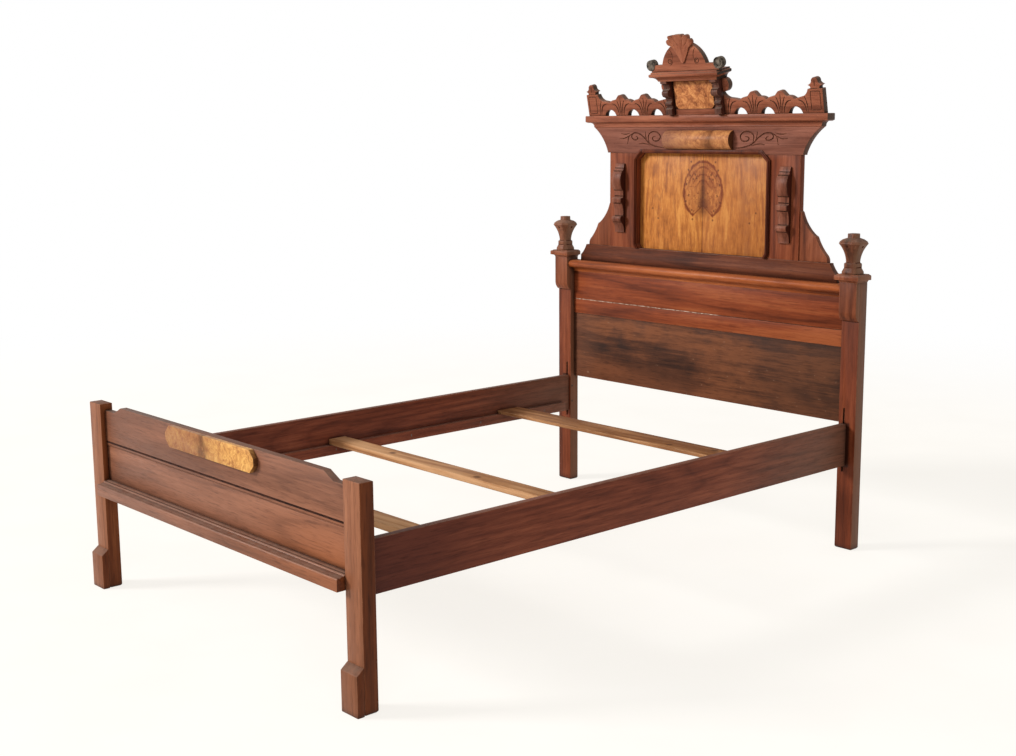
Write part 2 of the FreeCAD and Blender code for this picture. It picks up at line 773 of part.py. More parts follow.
foot_rail_profile += spread(foot_rail_top_shares, (foot_rail_front, foot_rail_shoulder),
                            (foot_board_front - foot_rail_front, foot_rail_top - foot_rail_shoulder))
foot_rail_profile += [[(foot_board_back, foot_rail_top)]]
foot_rail = prism_x(foot_rail_profile, -foot_inner, foot_inner)
save("foot_bottom_rail", foot_tongued(foot_rail, foot_rail_bottom, foot_rail_top))


# Foot tablet with canted corners
foot_tablet_top = foot_top_height - foot_tablet_drop
foot_tablet_low = foot_tablet_top - foot_tablet_height
foot_tablet_side = [
    [(foot_tablet_half - foot_tablet_cant, foot_tablet_low)],
    [(foot_tablet_half, foot_tablet_low + foot_tablet_cant)],
    [(foot_tablet_half, foot_tablet_top - foot_tablet_cant)],
    [(foot_tablet_half - foot_tablet_cant, foot_tablet_top)]]
save("foot_tablet",
     prism_y(both_ways(foot_tablet_side), foot_board_front - foot_tablet_thickness, foot_board_front))


# Rail hooks: a plate let into the rail end, with two arms that drop over the pins
def hook_plate(end, outward):
    middle = rail_bottom + rail_height / 2
    low = middle - hook_plate_height / 2
    high = middle + hook_plate_height / 2
    moves = [[(end - outward * hook_plate_length, low)], [(end, low)]]
    for arm in (middle - hook_pitch / 2, middle + hook_pitch / 2):
        moves.append([(end, arm)])
        moves.append([(end + outward * hook_throat, arm)])
        moves.append([(end + outward * hook_throat, arm - hook_beak_drop)])
        moves.append([(end + outward * hook_arm_reach, arm - hook_beak_drop / 2)])
        moves.append([(end + outward * hook_arm_reach, arm + hook_arm_height)])
        moves.append([(end, arm + hook_arm_height)])
    moves.append([(end, high)])
    moves.append([(end - outward * hook_plate_length, high)])
    return prism_x(moves, rail_middle - hook_thickness / 2, rail_middle + hook_thickness / 2)


hooks = [hook_plate(foot_back, -1), hook_plate(head_front, 1)]
save_pair("rail_hooks", Part.makeCompound(hooks))
right_pins = head_pins + foot_pins
save("hook_pins", Part.makeCompound(right_pins + [flipped(pin) for pin in right_pins]))


# Side rails, with kerfs for the hook plates, and the ledgers nailed to them with tapered cut nails
def nail(y):
    head_x = rail_inner - ledger_width
    neck_x = head_x + nail_head_depth
    z = ledger_top - ledger_height / 2
    upper = [
        [(head_x, z + nail_head_width / 2)],
        [(neck_x, z + nail_head_width / 2)],
        [(neck_x, z + nail_width / 2)],
        [(head_x + nail_length, z + nail_tip / 2)]]
    lower = [[(x, z + z - height)] for ((x, height),) in upper]
    return prism_y(upper + backwards(lower), y - nail_thickness / 2, y + nail_thickness / 2)


ledger_start = foot_back + ledger_end_gap
ledger_end = head_front - ledger_end_gap
nail_span = (ledger_end - ledger_start - 2 * nail_end) / (nails_per_ledger - 1)
nails = [nail(ledger_start + nail_end + index * nail_span) for index in range(nails_per_ledger)]
rail = box(rail_inner, rail_outer, foot_back, head_front, rail_bottom, rail_bottom + rail_height)
ledger = box(rail_inner - ledger_width, rail_inner, ledger_start, ledger_end, ledger_top - ledger_height,
             ledger_top)
for hook in hooks:
    rail = rail.cut(hook)
for one_nail in nails:
    rail = rail.cut(one_nail)
    ledger = ledger.cut(one_nail)
save_pair("side_rail", rail)
save_pair("ledger", ledger)
save_pair("ledger_nails", Part.makeCompound(nails))


# Loose slats on the ledgers: two narrow ones, and a wide thin one at the head
def slat(place_share, width, thickness):
    reach = rail_inner - slat_end_gap
    y = foot_back + rail_length * place_share
    plank = box(-reach, reach, y - width / 2, y + width / 2, ledger_top, ledger_top + thickness)
    long_edges = [edge for edge in plank.Edges if edge.Length > width]
    return plank.makeChamfer(edge_ease, long_edges)


save("slat_foot", slat(slat_foot_share, slat_width, slat_thickness))
save("slat_middle", slat(slat_middle_share, slat_width, slat_thickness))
save("slat_head", slat(slat_head_share, wide_slat_width, wide_slat_thickness))
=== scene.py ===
import json
import math
import random
import bpy
from mathutils import Matrix, Vector


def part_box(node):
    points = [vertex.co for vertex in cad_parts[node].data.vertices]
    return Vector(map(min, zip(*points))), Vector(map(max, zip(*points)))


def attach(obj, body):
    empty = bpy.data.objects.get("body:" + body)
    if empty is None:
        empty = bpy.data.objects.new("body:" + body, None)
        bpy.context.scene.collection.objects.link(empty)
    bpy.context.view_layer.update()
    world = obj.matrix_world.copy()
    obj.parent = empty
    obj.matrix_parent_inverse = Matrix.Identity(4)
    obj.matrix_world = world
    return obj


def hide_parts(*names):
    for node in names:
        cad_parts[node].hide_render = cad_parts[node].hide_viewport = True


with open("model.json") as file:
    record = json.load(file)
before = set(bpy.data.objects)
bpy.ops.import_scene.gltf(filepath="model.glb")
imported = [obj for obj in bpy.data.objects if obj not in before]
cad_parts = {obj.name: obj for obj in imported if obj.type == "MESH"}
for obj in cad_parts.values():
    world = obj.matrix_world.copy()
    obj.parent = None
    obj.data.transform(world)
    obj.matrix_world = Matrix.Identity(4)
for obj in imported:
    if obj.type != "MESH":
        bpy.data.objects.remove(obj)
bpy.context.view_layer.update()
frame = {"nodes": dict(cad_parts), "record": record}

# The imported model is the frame: sizes are in metres, +X across the bed, +Y towards the head, +Z up.
random.seed(7)

# Camera, fitted to the corners of the posts and rails
photo_width = 1016
sensor_width = 36.0
focal_pixels = 1425.66
camera_azimuth = math.radians(48.295)
camera_elevation = math.radians(10.071)
camera_roll = math.radians(-0.442)
camera_place = Vector((3.286, -2.844, 1.3756))

# Edges of the copied solids
merge_gap = 0.00002
flat_angle = math.radians(1.0)
sharp_angle = math.radians(32.0)
moulding_angle = math.radians(50.0)
ease_steps = 2
post_edge = 0.002
slat_edge = 0.0018
carved_edge = 0.0014
board_edge = 0.001
moulding_edge = 0.0005
leaf_edge = 0.0002

# Crown: everything on the cornice leans forward about its back edge
crown_lean = math.radians(11.5)
gallery_thickness = 0.021
cornice_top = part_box("cornice")[1].z
gallery_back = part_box("gallery_right")[1].y
gallery_front = gallery_back - gallery_thickness
lean_axis = Vector((0, gallery_back, cornice_top))
lean = Matrix.Translation(lean_axis) @ Matrix.Rotation(crown_lean, 4, "X") @ Matrix.Translation(-lean_axis)

# Carving on the galleries. The flutes are shares of half a palmette's width and of its height.
line_width = 0.0056
thin_line = 0.0034
line_sides = 2
line_order = 3
line_steps = 5
palmette_first = 0.1325
palmette_pitch = 0.113
palmette_height = 0.079
palmette_count = 4
flute_shares = (
    ((0.2, 0.08), (0.27, 0.38), (0.48, 0.56), (0.74, 0.6)),
    ((0.09, 0.08), (0.13, 0.45), (0.3, 0.74)))
vein_shares = ((0, 0.08), (0, 0.45), (0, 0.84))
end_panel_middle = 0.4975
end_panel_half = 0.0186
end_panel_low = 0.014
end_panel_high = 0.074
end_panel_corner = 0.013
trefoil_foot = 0.083
trefoil_half = 0.016
trefoil_vein_low = 0.09
trefoil_vein_high = 0.109

# Carving on the frieze, as shares of a scroll's length and height
scroll_gap = 0.004
scroll_length = 0.224
scroll_height = 0.058
scroll_foot = 0.016
scroll_shares = (
    ((0.03, 0.06), (0.19, 0.1), (0.36, 0.3), (0.46, 0.68), (0.58, 0.95), (0.72, 0.96), (0.75, 0.64),
     (0.64, 0.48), (0.58, 0.66), (0.65, 0.76)),
    ((0.34, 0.26), (0.39, 0.62), (0.35, 0.98), (0.2, 1.06), (0.1, 0.76), (0.16, 0.44), (0.28, 0.48),
     (0.29, 0.74), (0.21, 0.74)),
    ((0.39, 0.36), (0.43, 0.66), (0.44, 1.02)),
    ((0.7, 0.94), (0.8, 0.84), (0.83, 0.26)),
    ((0.74, 0.9), (0.86, 0.6), (1.0, 0.62)),
    ((0.77, 0.95), (0.88, 0.84), (0.97, 0.92)),
    ((0.33, 0.2), (0.46, 0.34), (0.58, 0.28)))

# Carving on the pediment and its palmette, as shares of the palmette's half width and height
pediment_proud = 0.041
palm_low = 0.187
palm_height = 0.099
palm_half = 0.055
palm_tail_proud = 0.006
palm_proud = 0.024
palm_stroke_shares = (
    ((0.1, 0.54), (0.22, 0.7), (0.38, 0.9)),
    ((0.24, 0.54), (0.48, 0.65), (0.78, 0.82)),
    ((0.06, 0.1), (0.3, 0.3), (0.5, 0.46)))
palm_neck_shares = ((-0.62, 0.53), (-0.3, 0.49), (0, 0.48), (0.3, 0.49), (0.62, 0.53))
palm_grit = 0.0013
palm_rounding = 5
palm_line = 0.0072
spiral_place = (0.06, 0.194)
spiral_radius = 0.0125
spiral_steps = 13
spiral_turn = math.radians(50)
spiral_start = math.radians(-100)
spiral_close_share = 0.78
leaf_points = ((0.047, 0.2), (0.046, 0.215), (0.05, 0.228), (0.058, 0.236))

# Turned roundels: each step is an inset towards the middle and a rise or a fall, as shares of the radius
roundel_thickness = 0.022
roundel_sides = 40
roundel_face_share = 0.9
roundel_turn = math.radians(90)
roundel_step_shares = ((0.14, 0), (0.12, -0.16), (0.16, 0), (0.1, 0.12), (0.14, 0.02))

# Small hollows on the finials, the open joint in the head boards and the reed line on the footboard
dimple_radius = 0.0045
dimple_sides = 16
dimple_rings = 10
dimple_share = 0.68
groove_shares = (0.17, 0.285)
groove_width = 0.0034
filler_width = 0.0022
filler_height = 0.7167
filler_from = -0.612
filler_to = 0.1
filler_steps = 40
filler_wander = 0.0007
reed_low = 0.4445
reed_high = 0.4585
reed_face_share = 0.98

# Scored lines: across the corbels and brackets, as shares of their height from the top, and along the foot
# rail, as shares of its moulding's depth and height and of a scored line's width
score_width = 0.0036
corbel_score_shares = (0.065, 0.108, 0.385, 0.47, 0.575, 0.76, 0.85)
bracket_score_shares = (0.14, 0.32, 0.53, 0.74)
rail_moulding_depth = 0.024
rail_moulding_height = 0.012
rail_score_shares = ((0.21, 0.24, 0.5), (0.53, 0.5, 0.6), (0.77, 0.84, 0.5), (1.0, 1.0, 1.4))

# Scale of the finishes: lengths in metres, and the scales of textures
grain_shift = 9.0
bump_depth = 0.0006
burl_bump_depth = 0.0004
# The reach of the darkening in corners (dirt and painted shade) and the radius of the lighter edges (wear and
# a painted highlight)
dirt_and_shade_reach = 0.022
crisp_reach = 0.011
post_reach = 0.034
worn_and_lit_radius = 0.004
ring_count = 9.0
figure_scale = 7.0
mottle_scale = 7.0
drift_scale = 2.2
ripple_scale = 14.0
patch_scale = 38.0
streak_scale = 80.0
fleck_scale = 230.0
pore_scale = 800.0


# Selecting and finishing
def take(piece):
    bpy.ops.object.select_all(action="DESELECT")
    piece.select_set(True)
    bpy.context.view_layer.objects.active = piece


def apply_all(piece):
    take(piece)
    for modifier in list(piece.modifiers):
        bpy.ops.object.modifier_apply(modifier=modifier.name)


def smooth(piece):
    take(piece)
    bpy.ops.object.shade_smooth_by_angle(angle=sharp_angle)


def ease(piece, width, angle=sharp_angle, clamp=False):
    bevel = piece.modifiers.new("eased edges", "BEVEL")
    bevel.width = width
    bevel.segments = ease_steps
    bevel.limit_method = "ANGLE"
    bevel.angle_limit = angle
    bevel.use_clamp_overlap = clamp
    apply_all(piece)


def close_up(piece):
    take(piece)
    bpy.ops.object.mode_set(mode="EDIT")
    bpy.ops.mesh.select_all(action="SELECT")
    bpy.ops.mesh.remove_doubles(threshold=merge_gap)
    bpy.ops.mesh.normals_make_consistent(inside=False)
    bpy.ops.object.mode_set(mode="OBJECT")


def copied(node, name):
    mesh = frame["nodes"][node].data.copy()
    mesh.materials.clear()
    piece = bpy.data.objects.new(name, mesh)
    bpy.context.scene.collection.objects.link(piece)
    take(piece)
    bpy.ops.object.mode_set(mode="EDIT")
    bpy.ops.mesh.select_all(action="SELECT")
    bpy.ops.mesh.customdata_custom_splitnormals_clear()
    bpy.ops.mesh.remove_doubles(threshold=merge_gap)
    bpy.ops.mesh.dissolve_limited(angle_limit=flat_angle)
    bpy.ops.object.mode_set(mode="OBJECT")
    return piece


# A piece's stain is given at its left and its right end
even = (0.0, 0.0)


def shift_grain(piece, stain):
    corners = piece.data.vertices
    count = len(corners)
    dice = random.Random(piece.name)
    shift = [dice.uniform(0, grain_shift) for axis in range(3)]
    place = piece.data.attributes.new("board_shift", "FLOAT_VECTOR", "POINT")
    place.data.foreach_set("vector", shift * count)
    tone = piece.data.attributes.new("board_stain", "FLOAT", "POINT")
    start = min(corner.co.x for corner in corners)
    length = max(corner.co.x for corner in corners) - start
    left, right = stain
    stains = [left + (right - left) * (corner.co.x - start) / length for corner in corners]
    tone.data.foreach_set("value", stains)


body_of_node = {}
for body, members in frame["record"]["behaviour"]["bodies"].items():
    for member in members:
        body_of_node[member] = body


def stand_for(piece, node, finish, stain=even):
    if not piece.data.materials:
        piece.data.materials.append(finish)
    shift_grain(piece, stain)
    smooth(piece)
    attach(piece, body_of_node[node])
    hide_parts(node)


def both_sides(*names):
    return [name + side for name in names for side in ("_left", "_right")]


# Shader building
def feed(tree, socket, value):
    if isinstance(value, bpy.types.NodeSocket):
        tree.links.new(value, socket)
    else:
        socket.default_value = value


def put(tree, kind, inputs=None, **settings):
    made = tree.nodes.new("ShaderNode" + kind)
    for key, value in settings.items():
        setattr(made, key, value)
    for key, value in (inputs or {}).items():
        feed(tree, made.inputs[key], value)
    return made


def object_vector(tree):
    return put(tree, "TexCoord").outputs["Object"]


def parts_of(tree, vector):
    return put(tree, "SeparateXYZ", {0: vector}).outputs


def reckon(tree, operation, first, second=0.0, clamp=False):
    return put(tree, "Math", {0: first, 1: second}, operation=operation, use_clamp=clamp).outputs[0]


def plus(tree, first, second, clamp=False):
    return reckon(tree, "ADD", first, second, clamp)


def less(tree, first, second):
    return reckon(tree, "SUBTRACT", first, second)


def times(tree, first, *others):
    for other in others:
        first = reckon(tree, "MULTIPLY", first, other)
    return first


def apart(tree, first, second):
    return reckon(tree, "ABSOLUTE", less(tree, first, second))


def wandering(tree, field, reach):
    return times(tree, less(tree, field, 0.5), reach)


def weighed(tree, pairs):
    total = None
    for value, weight in pairs:
        share = times(tree, value, weight)
        total = share if total is None else plus(tree, total, share)
    return total


def blend(tree, share, first, second, way="MIX"):
    made = put(tree, "Mix", {0: share, 6: first, 7: second}, data_type="RGBA", blend_type=way)
    return made.outputs[2]


# Each layer has a mask, a strength, a tint and, where it isn't a plain mix, a way of blending
def layered(tree, colour, layers):
    for mask, strength, tint, *way in layers:
        colour = blend(tree, times(tree, mask, strength), colour, (*tint, 1), *way)
    return colour


def stepped(tree, value, low, high, start=0.0, end=1.0):
    inputs = {"Value": value, "From Min": low, "From Max": high, "To Min": start, "To Max": end}
    return put(tree, "MapRange", inputs, interpolation_type="SMOOTHSTEP").outputs[0]


def noise(tree, vector, scale, detail=2.0, roughness=0.5, distortion=0.0):
    inputs = {"Vector": vector, "Scale": scale, "Detail": detail, "Roughness": roughness,
              "Distortion": distortion}
    return put(tree, "TexNoise", inputs).outputs[0]


def vectors(tree, operation, first, second=(0, 0, 0)):
    return put(tree, "VectorMath", {0: first, 1: second}, operation=operation).outputs


def stretched(tree, vector, scale):
    return vectors(tree, "MULTIPLY", vector, scale)[0]


def ramp(tree, value, stops):
    made = put(tree, "ValToRGB", {"Fac": value})
    places = made.color_ramp.elements
    while len(places) < len(stops):
        places.new(0.5)
    for element, (place, colour) in zip(places, stops):
        element.position = place
        element.color = (*colour, 1)
    return made.outputs[0]


def toned(tree, value, tones, spread=0.13):
    places = (0.5 - spread, 0.5, 0.5 + spread)
    return ramp(tree, value, list(zip(places, tones)))


def attribute(tree, name, output):
    return put(tree, "Attribute", attribute_name=name).outputs[output]


def new_group(name, inputs, outputs):
    group = bpy.data.node_groups.new(name, "ShaderNodeTree")
    for label, kind, value in inputs:
        socket = group.interface.new_socket(name=label, in_out="INPUT", socket_type="NodeSocket" + kind)
        if value is not None:
            socket.default_value = value
    for label in outputs:
        group.interface.new_socket(name=label, in_out="OUTPUT", socket_type="NodeSocketFloat")
    entry = group.nodes.new("NodeGroupInput").outputs
    leave = group.nodes.new("NodeGroupOutput").inputs
    return group, entry, leave


def use_group(tree, group, inputs):
    made = tree.nodes.new("ShaderNodeGroup")
    made.node_tree = group
    for key, value in inputs.items():
        feed(tree, made.inputs[key], value)
    return made.outputs


def start_material(name, roughness, specular=0.1):
    made = bpy.data.materials.new(name)
    made.use_nodes = True
    inputs = made.node_tree.nodes["Principled BSDF"].inputs
    inputs["Roughness"].default_value = roughness
    inputs["Specular IOR Level"].default_value = specular
    return made, made.node_tree


def finished(made, colour, rough, height, strength, depth=bump_depth, metallic=0.0):
    tree = made.node_tree
    bump = put(tree, "Bump", {"Height": height, "Strength": strength, "Distance": depth})
    looks = {"Base Color": colour, "Roughness": rough, "Metallic": metallic, "Normal": bump.outputs[0]}
    for key, value in looks.items():
        feed(tree, tree.nodes["Principled BSDF"].inputs[key], value)
    return made


# Grain: growth rings cut flat, fine pores, flecks and streaks drawn out along the board, and slow changes of
# tone. It runs along X.
def make_grain():
    group, entry, leave = new_group(
        "board grain",
        [("Vector", "Vector", None), ("Figure Scale", "Float", figure_scale),
         ("Ring Count", "Float", ring_count), ("Pore Scale", "Float", pore_scale)],
        ["Rings", "Pores", "Flecks", "Mottle", "Streaks", "Drift"])

    def drawn_out(share, scale, *character):
        return noise(group, stretched(group, entry["Vector"], (share, 1.0, 1.0)), scale, *character)

    ripple = noise(group, stretched(group, entry["Vector"], (1.0, 12.0, 12.0)), ripple_scale)
    field = drawn_out(0.1, entry["Figure Scale"], 1.5, 0.4)
    waves = weighed(group, ((field, entry["Ring Count"]), (ripple, 0.3)))
    pore = drawn_out(0.03, entry["Pore Scale"], 2.0, 0.6)
    fleck = drawn_out(0.07, fleck_scale, 2.0, 0.6)
    feed(group, leave["Rings"], reckon(group, "PINGPONG", waves, 1.0))
    feed(group, leave["Pores"], stepped(group, pore, 0.52, 0.7))
    feed(group, leave["Flecks"], stepped(group, fleck, 0.52, 0.7))
    feed(group, leave["Mottle"], drawn_out(0.4, mottle_scale, 4.0, 0.6))
    feed(group, leave["Streaks"], drawn_out(0.04, streak_scale, 4.0, 0.65))
    feed(group, leave["Drift"], drawn_out(0.6, drift_scale))
    return group


# Handling and painted light: worn edges that are also a painted highlight, dirt in corners that is also
# painted shade, dust where a face looks up that is also a painted sheen, and which way a face looks, used for
# painted light and shade on side faces
def make_wear_and_light():
    group, entry, leave = new_group(
        "handling",
        [("Vector", "Vector", None), ("Edge Radius", "Float", worn_and_lit_radius),
         ("Dirt Reach", "Float", dirt_and_shade_reach)],
        ["Worn", "Dirt", "Dust", "Back", "Front", "Side"])
    normal = put(group, "NewGeometry").outputs["Normal"]
    # Lighter edges: wear and a painted highlight
    rounded = put(group, "Bevel", {"Radius": entry["Edge Radius"]}, samples=4).outputs[0]
    edge = stepped(group, vectors(group, "DOT_PRODUCT", rounded, normal)["Value"], 0.995, 0.86)
    patchy = noise(group, entry["Vector"], patch_scale, 4.0, 0.6)
    # Darker where little light reaches, in corners and creases: dirt and painted shade
    shade = put(group, "AmbientOcclusion", {"Distance": entry["Dirt Reach"]}, samples=6)
    dark = stepped(group, shade.outputs["AO"], 0.8, 0.32)
    facing = parts_of(group, normal)
    # Greyer where a face looks up: dust and a painted sheen
    up = stepped(group, facing["Z"], 0.3, 0.9)
    feed(group, leave["Worn"], times(group, edge, stepped(group, patchy, 0.36, 0.66)))
    feed(group, leave["Dirt"], times(group, dark, stepped(group, patchy, 0.2, 0.55, 0.7, 1.0)))
    feed(group, leave["Dust"], times(group, up, stepped(group, patchy, 0.3, 0.62, 0.45, 1.0)))
    feed(group, leave["Back"], stepped(group, facing["Y"], 0.7, 0.95))
    feed(group, leave["Front"], stepped(group, facing["Y"], -0.3, -0.9))
    # Faces that look along X, painted darker or lighter as side light and shade
    feed(group, leave["Side"], stepped(group, reckon(group, "ABSOLUTE", facing["X"]), 0.5, 0.85))
    return group


grain_group = make_grain()
wear_and_light_group = make_wear_and_light()
grain_orders = {"across": "XYZ", "along": "YXZ", "upright": "ZXY"}


# Every board has its own stretch of grain, moved by its shift and turned to run its way
def board_vector(tree, run):
    moved = vectors(tree, "ADD", object_vector(tree), attribute(tree, "board_shift", "Vector"))[0]
    parts = parts_of(tree, moved)
    turned = {axis: parts[source] for axis, source in zip("XYZ", grain_orders[run])}
    return put(tree, "CombineXYZ", turned).outputs[0]


def ridged(tree, grain):
    return weighed(tree, ((grain["Rings"], 0.3), (grain["Pores"], -1.0)))


# Walnut: satin polish over reddish-brown boards. The footboard has painted warm light at its lower right, the
# rails have painted shade at the foot and a painted sheen at the head, and the head posts a painted shadow by
# the rail ends.
# Edges are lighter (wear and a painted highlight), corners darker (dirt and painted shade), tops greyer (dust
# and a painted sheen), backs raw wood, and sides painted in shade
worn_and_lit_wood = (0.46, 0.19, 0.095)
dirt_and_shade_wood = (0.02, 0.006, 0.0035)
dust_and_sheen_grey = (0.27, 0.215, 0.17)
raw_wood = (0.21, 0.12, 0.075)
side_shade = (0.05, 0.01, 0.005)
# Painted light: warm light on the footboard, painted shade towards the rails' foot end and a painted grey
# sheen towards their head end
warm_light_tint = (0.4, 0.13, 0.048)
rail_foot_shade = (0.07, 0.018, 0.0125)
rail_head_sheen = (0.2, 0.112, 0.07)
warm_from = 0.05
warm_to = 0.6
warm_low = 0.34
warm_high = 0.5
rail_dark_from = -0.95
rail_dark_to = -0.25
rail_grey_from = 0.25
rail_grey_to = 0.95
rail_low, rail_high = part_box("side_rail_right")
rail_face = rail_high.x
rail_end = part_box("head_post_right")[0].y
rail_middle = (rail_low.z + rail_high.z) / 2
rail_half = (rail_high.z - rail_low.z) / 2
# A painted shadow on the head posts beside the rail ends
rail_shadow_depth = 0.005
rail_shadow_fade = 0.01
rail_shadow_width = 0.008
rail_shadow_reach = 0.016


# A painted pool of warm light over the footboard's lower right front
def warm_light_corner(tree, place, front):
    right = stepped(tree, place["X"], warm_from, warm_to)
    low = stepped(tree, place["Z"], warm_high, warm_low)
    return times(tree, right, low, front)


# Painted shade towards the rails' foot end and a painted grey sheen towards their head end
def rail_ends(tree, along, dark):
    return ((stepped(tree, along, rail_dark_to, rail_dark_from), dark, rail_foot_shade),
            (stepped(tree, along, rail_grey_from, rail_grey_to), 0.5, rail_head_sheen))


# A painted shadow on the head posts just outside each rail's end, at the rail's height
def rail_end_shadow(tree, place):
    out = apart(tree, reckon(tree, "ABSOLUTE", place["X"]), rail_face)
    beside = stepped(tree, out, rail_shadow_reach, rail_shadow_width)
    near = stepped(tree, place["Y"], rail_end + rail_shadow_fade, rail_end + rail_shadow_depth)
    level = stepped(tree, apart(tree, place["Z"], rail_middle), rail_half + rail_shadow_width, rail_half)
    return times(tree, beside, near, level)


def walnut(name, run, tones, front_sheen=None, figure=figure_scale, rings=ring_count, gloss=0.42, specular=0.1,
           wear_and_highlight=0.4, dust=0.3, dirt=0.8, reach=dirt_and_shade_reach, sides=0.0, side_shading_tone=side_shade, lines=0.4,
           bands=0.14, dark_end=0.0, warm_light=0.0, rail_shadow=0.0):
    made, tree = start_material(name, gloss, specular)
    vector = board_vector(tree, run)
    place = parts_of(tree, object_vector(tree))
    grain = use_group(tree, grain_group, {"Vector": vector, "Figure Scale": figure, "Ring Count": rings})
    wear_and_light = use_group(tree, wear_and_light_group, {"Vector": vector, "Dirt Reach": reach})
    tone = weighed(tree, ((grain["Rings"], bands), (grain["Mottle"], 0.26), (grain["Streaks"], 0.46),
                          (grain["Drift"], 0.28 - bands), (attribute(tree, "board_stain", "Fac"), 1.0)))
    colour = toned(tree, tone, tones)
    # Paler, hazier tones on front faces: a painted sheen
    if front_sheen:
        colour = blend(tree, wear_and_light["Front"], colour, toned(tree, tone, front_sheen))
    # Painted warm light
    if warm_light:
        colour = layered(tree, colour, [(warm_light_corner(tree, place, wear_and_light["Front"]), warm_light, warm_light_tint)])
    # Painted shade and sheen along the rails
    if dark_end:
        colour = layered(tree, colour, rail_ends(tree, place["Y"], dark_end))
    late = times(tree, stepped(tree, grain["Rings"], 0.24, 0.02),
                 stepped(tree, grain["Mottle"], 0.4, 0.6, 0.4, 1.0))
    # Side faces are painted darker or lighter as light and shade, edges lighter as wear and a painted
    # highlight, tops greyer as dust and a painted sheen, and corners darker as dirt and painted shade
    colour = layered(tree, colour, (
        (late, lines, tones[0], "MULTIPLY"),
        (grain["Pores"], 0.24, tones[0], "MULTIPLY"),
        (grain["Flecks"], 0.3, tones[0], "MULTIPLY"),
        (wear_and_light["Side"], sides, side_shading_tone),
        (wear_and_light["Back"], 0.5, raw_wood),
        (wear_and_light["Dust"], dust, dust_and_sheen_grey),
        (wear_and_light["Worn"], wear_and_highlight, worn_and_lit_wood),
        (wear_and_light["Dirt"], dirt, dirt_and_shade_wood)))
    # Painted shadow beside the rail ends
    if rail_shadow:
        colour = layered(tree, colour, [(rail_end_shadow(tree, place), rail_shadow, dirt_and_shade_wood)])
    rough = weighed(tree, ((grain["Pores"], 0.15), (grain["Mottle"], 0.16), (wear_and_light["Dust"], 0.3)))
    return finished(made, colour, plus(tree, rough, gloss - 0.1, True), ridged(tree, grain), 0.2)


# Tones are given from dark to light
head_tones = ((0.125, 0.026, 0.009), (0.23, 0.049, 0.0155), (0.335, 0.09, 0.03))
upright_tones = ((0.093, 0.02, 0.0075), (0.167, 0.037, 0.0135), (0.25, 0.066, 0.026))
wing_tones = ((0.105, 0.028, 0.012), (0.187, 0.05, 0.02), (0.28, 0.085, 0.036))
bead_tones = ((0.056, 0.009, 0.0025), (0.1, 0.018, 0.0045), (0.15, 0.032, 0.009))
finial_tones = ((0.074, 0.025, 0.012), (0.155, 0.05, 0.0235), (0.265, 0.104, 0.055))
base_tones = ((0.057, 0.014, 0.005), (0.11, 0.027, 0.01), (0.18, 0.052, 0.02))
# The roll rail is a lighter copy of the head boards' tones: a painted highlight along the roll
roll_lit_tones = ((0.18, 0.04, 0.01), (0.33, 0.08, 0.02), (0.46, 0.135, 0.038))
corbel_tones = ((0.095, 0.028, 0.014), (0.19, 0.06, 0.032), (0.29, 0.11, 0.064))
bracket_tones = ((0.05, 0.02, 0.014), (0.125, 0.05, 0.033), (0.25, 0.11, 0.075))
crown_tones = ((0.165, 0.047, 0.0225), (0.28, 0.085, 0.042), (0.37, 0.127, 0.064))
frieze_tones = ((0.14, 0.045, 0.027), (0.21, 0.072, 0.044), (0.28, 0.104, 0.066))
foot_tones = ((0.08, 0.019, 0.005), (0.135, 0.033, 0.009), (0.21, 0.06, 0.018))
# Paler, hazier tones for front faces: a painted sheen
foot_front_sheen_tones = ((0.168, 0.062, 0.031), (0.226, 0.087, 0.0455), (0.29, 0.117, 0.063))
post_front_sheen_tones = ((0.18, 0.064, 0.029), (0.25, 0.092, 0.043), (0.32, 0.125, 0.06))
rail_tones = ((0.09, 0.023, 0.013), (0.2, 0.052, 0.026), (0.31, 0.09, 0.044))
# Side colours: painted side shade, and for the head posts, finials and caps a tan that is dust and painted
# side light
dust_and_light_side = (0.25, 0.135, 0.078)
grey_side_shade = (0.068, 0.046, 0.033)
darkest_side_shade = (0.03, 0.021, 0.015)
# Side faces of these finishes are painted darker or lighter as light and shade, and their corners darker as
# dirt and painted shade
walnut_head_across = walnut("walnut head boards", "across", head_tones, rings=7.0, lines=0.28)
walnut_head_upright = walnut("walnut head uprights", "upright", upright_tones, dirt=0.55)
walnut_head_post = walnut("walnut head posts", "upright", upright_tones, sides=0.5, side_shading_tone=dust_and_light_side,
                          dirt=0.95, reach=post_reach, rail_shadow=0.85)
walnut_finial = walnut("walnut finials", "upright", finial_tones, sides=0.55, side_shading_tone=dust_and_light_side,
                       dirt=0.9, reach=crisp_reach)
walnut_bead = walnut("walnut panel beads", "upright", bead_tones, sides=0.85, dirt=0.15, wear_and_highlight=0.05, dust=0.0)
walnut_wing = walnut("walnut wings", "upright", wing_tones, dirt=0.55)
walnut_cap = walnut("walnut post caps", "upright", wing_tones, sides=0.5, side_shading_tone=dust_and_light_side, dirt=0.9)
walnut_corbel = walnut("walnut corbels", "upright", corbel_tones, sides=0.92, dirt=1.0, reach=crisp_reach)
walnut_bracket = walnut("walnut brackets", "upright", bracket_tones, sides=0.7, dust=0.5, dirt=1.0,
                        reach=crisp_reach)
walnut_base = walnut("walnut base board", "across", base_tones)
walnut_roll = walnut("walnut roll rail", "across", roll_lit_tones, gloss=0.4, specular=0.14, lines=0.2, dust=0.05)
walnut_hood = walnut("walnut hood", "across", crown_tones, sides=1.0, side_shading_tone=darkest_side_shade, dirt=0.9)
walnut_crown = walnut("walnut crown", "across", crown_tones, sides=0.9, side_shading_tone=grey_side_shade, wear_and_highlight=0.45,
                      dust=0.45, dirt=0.9)
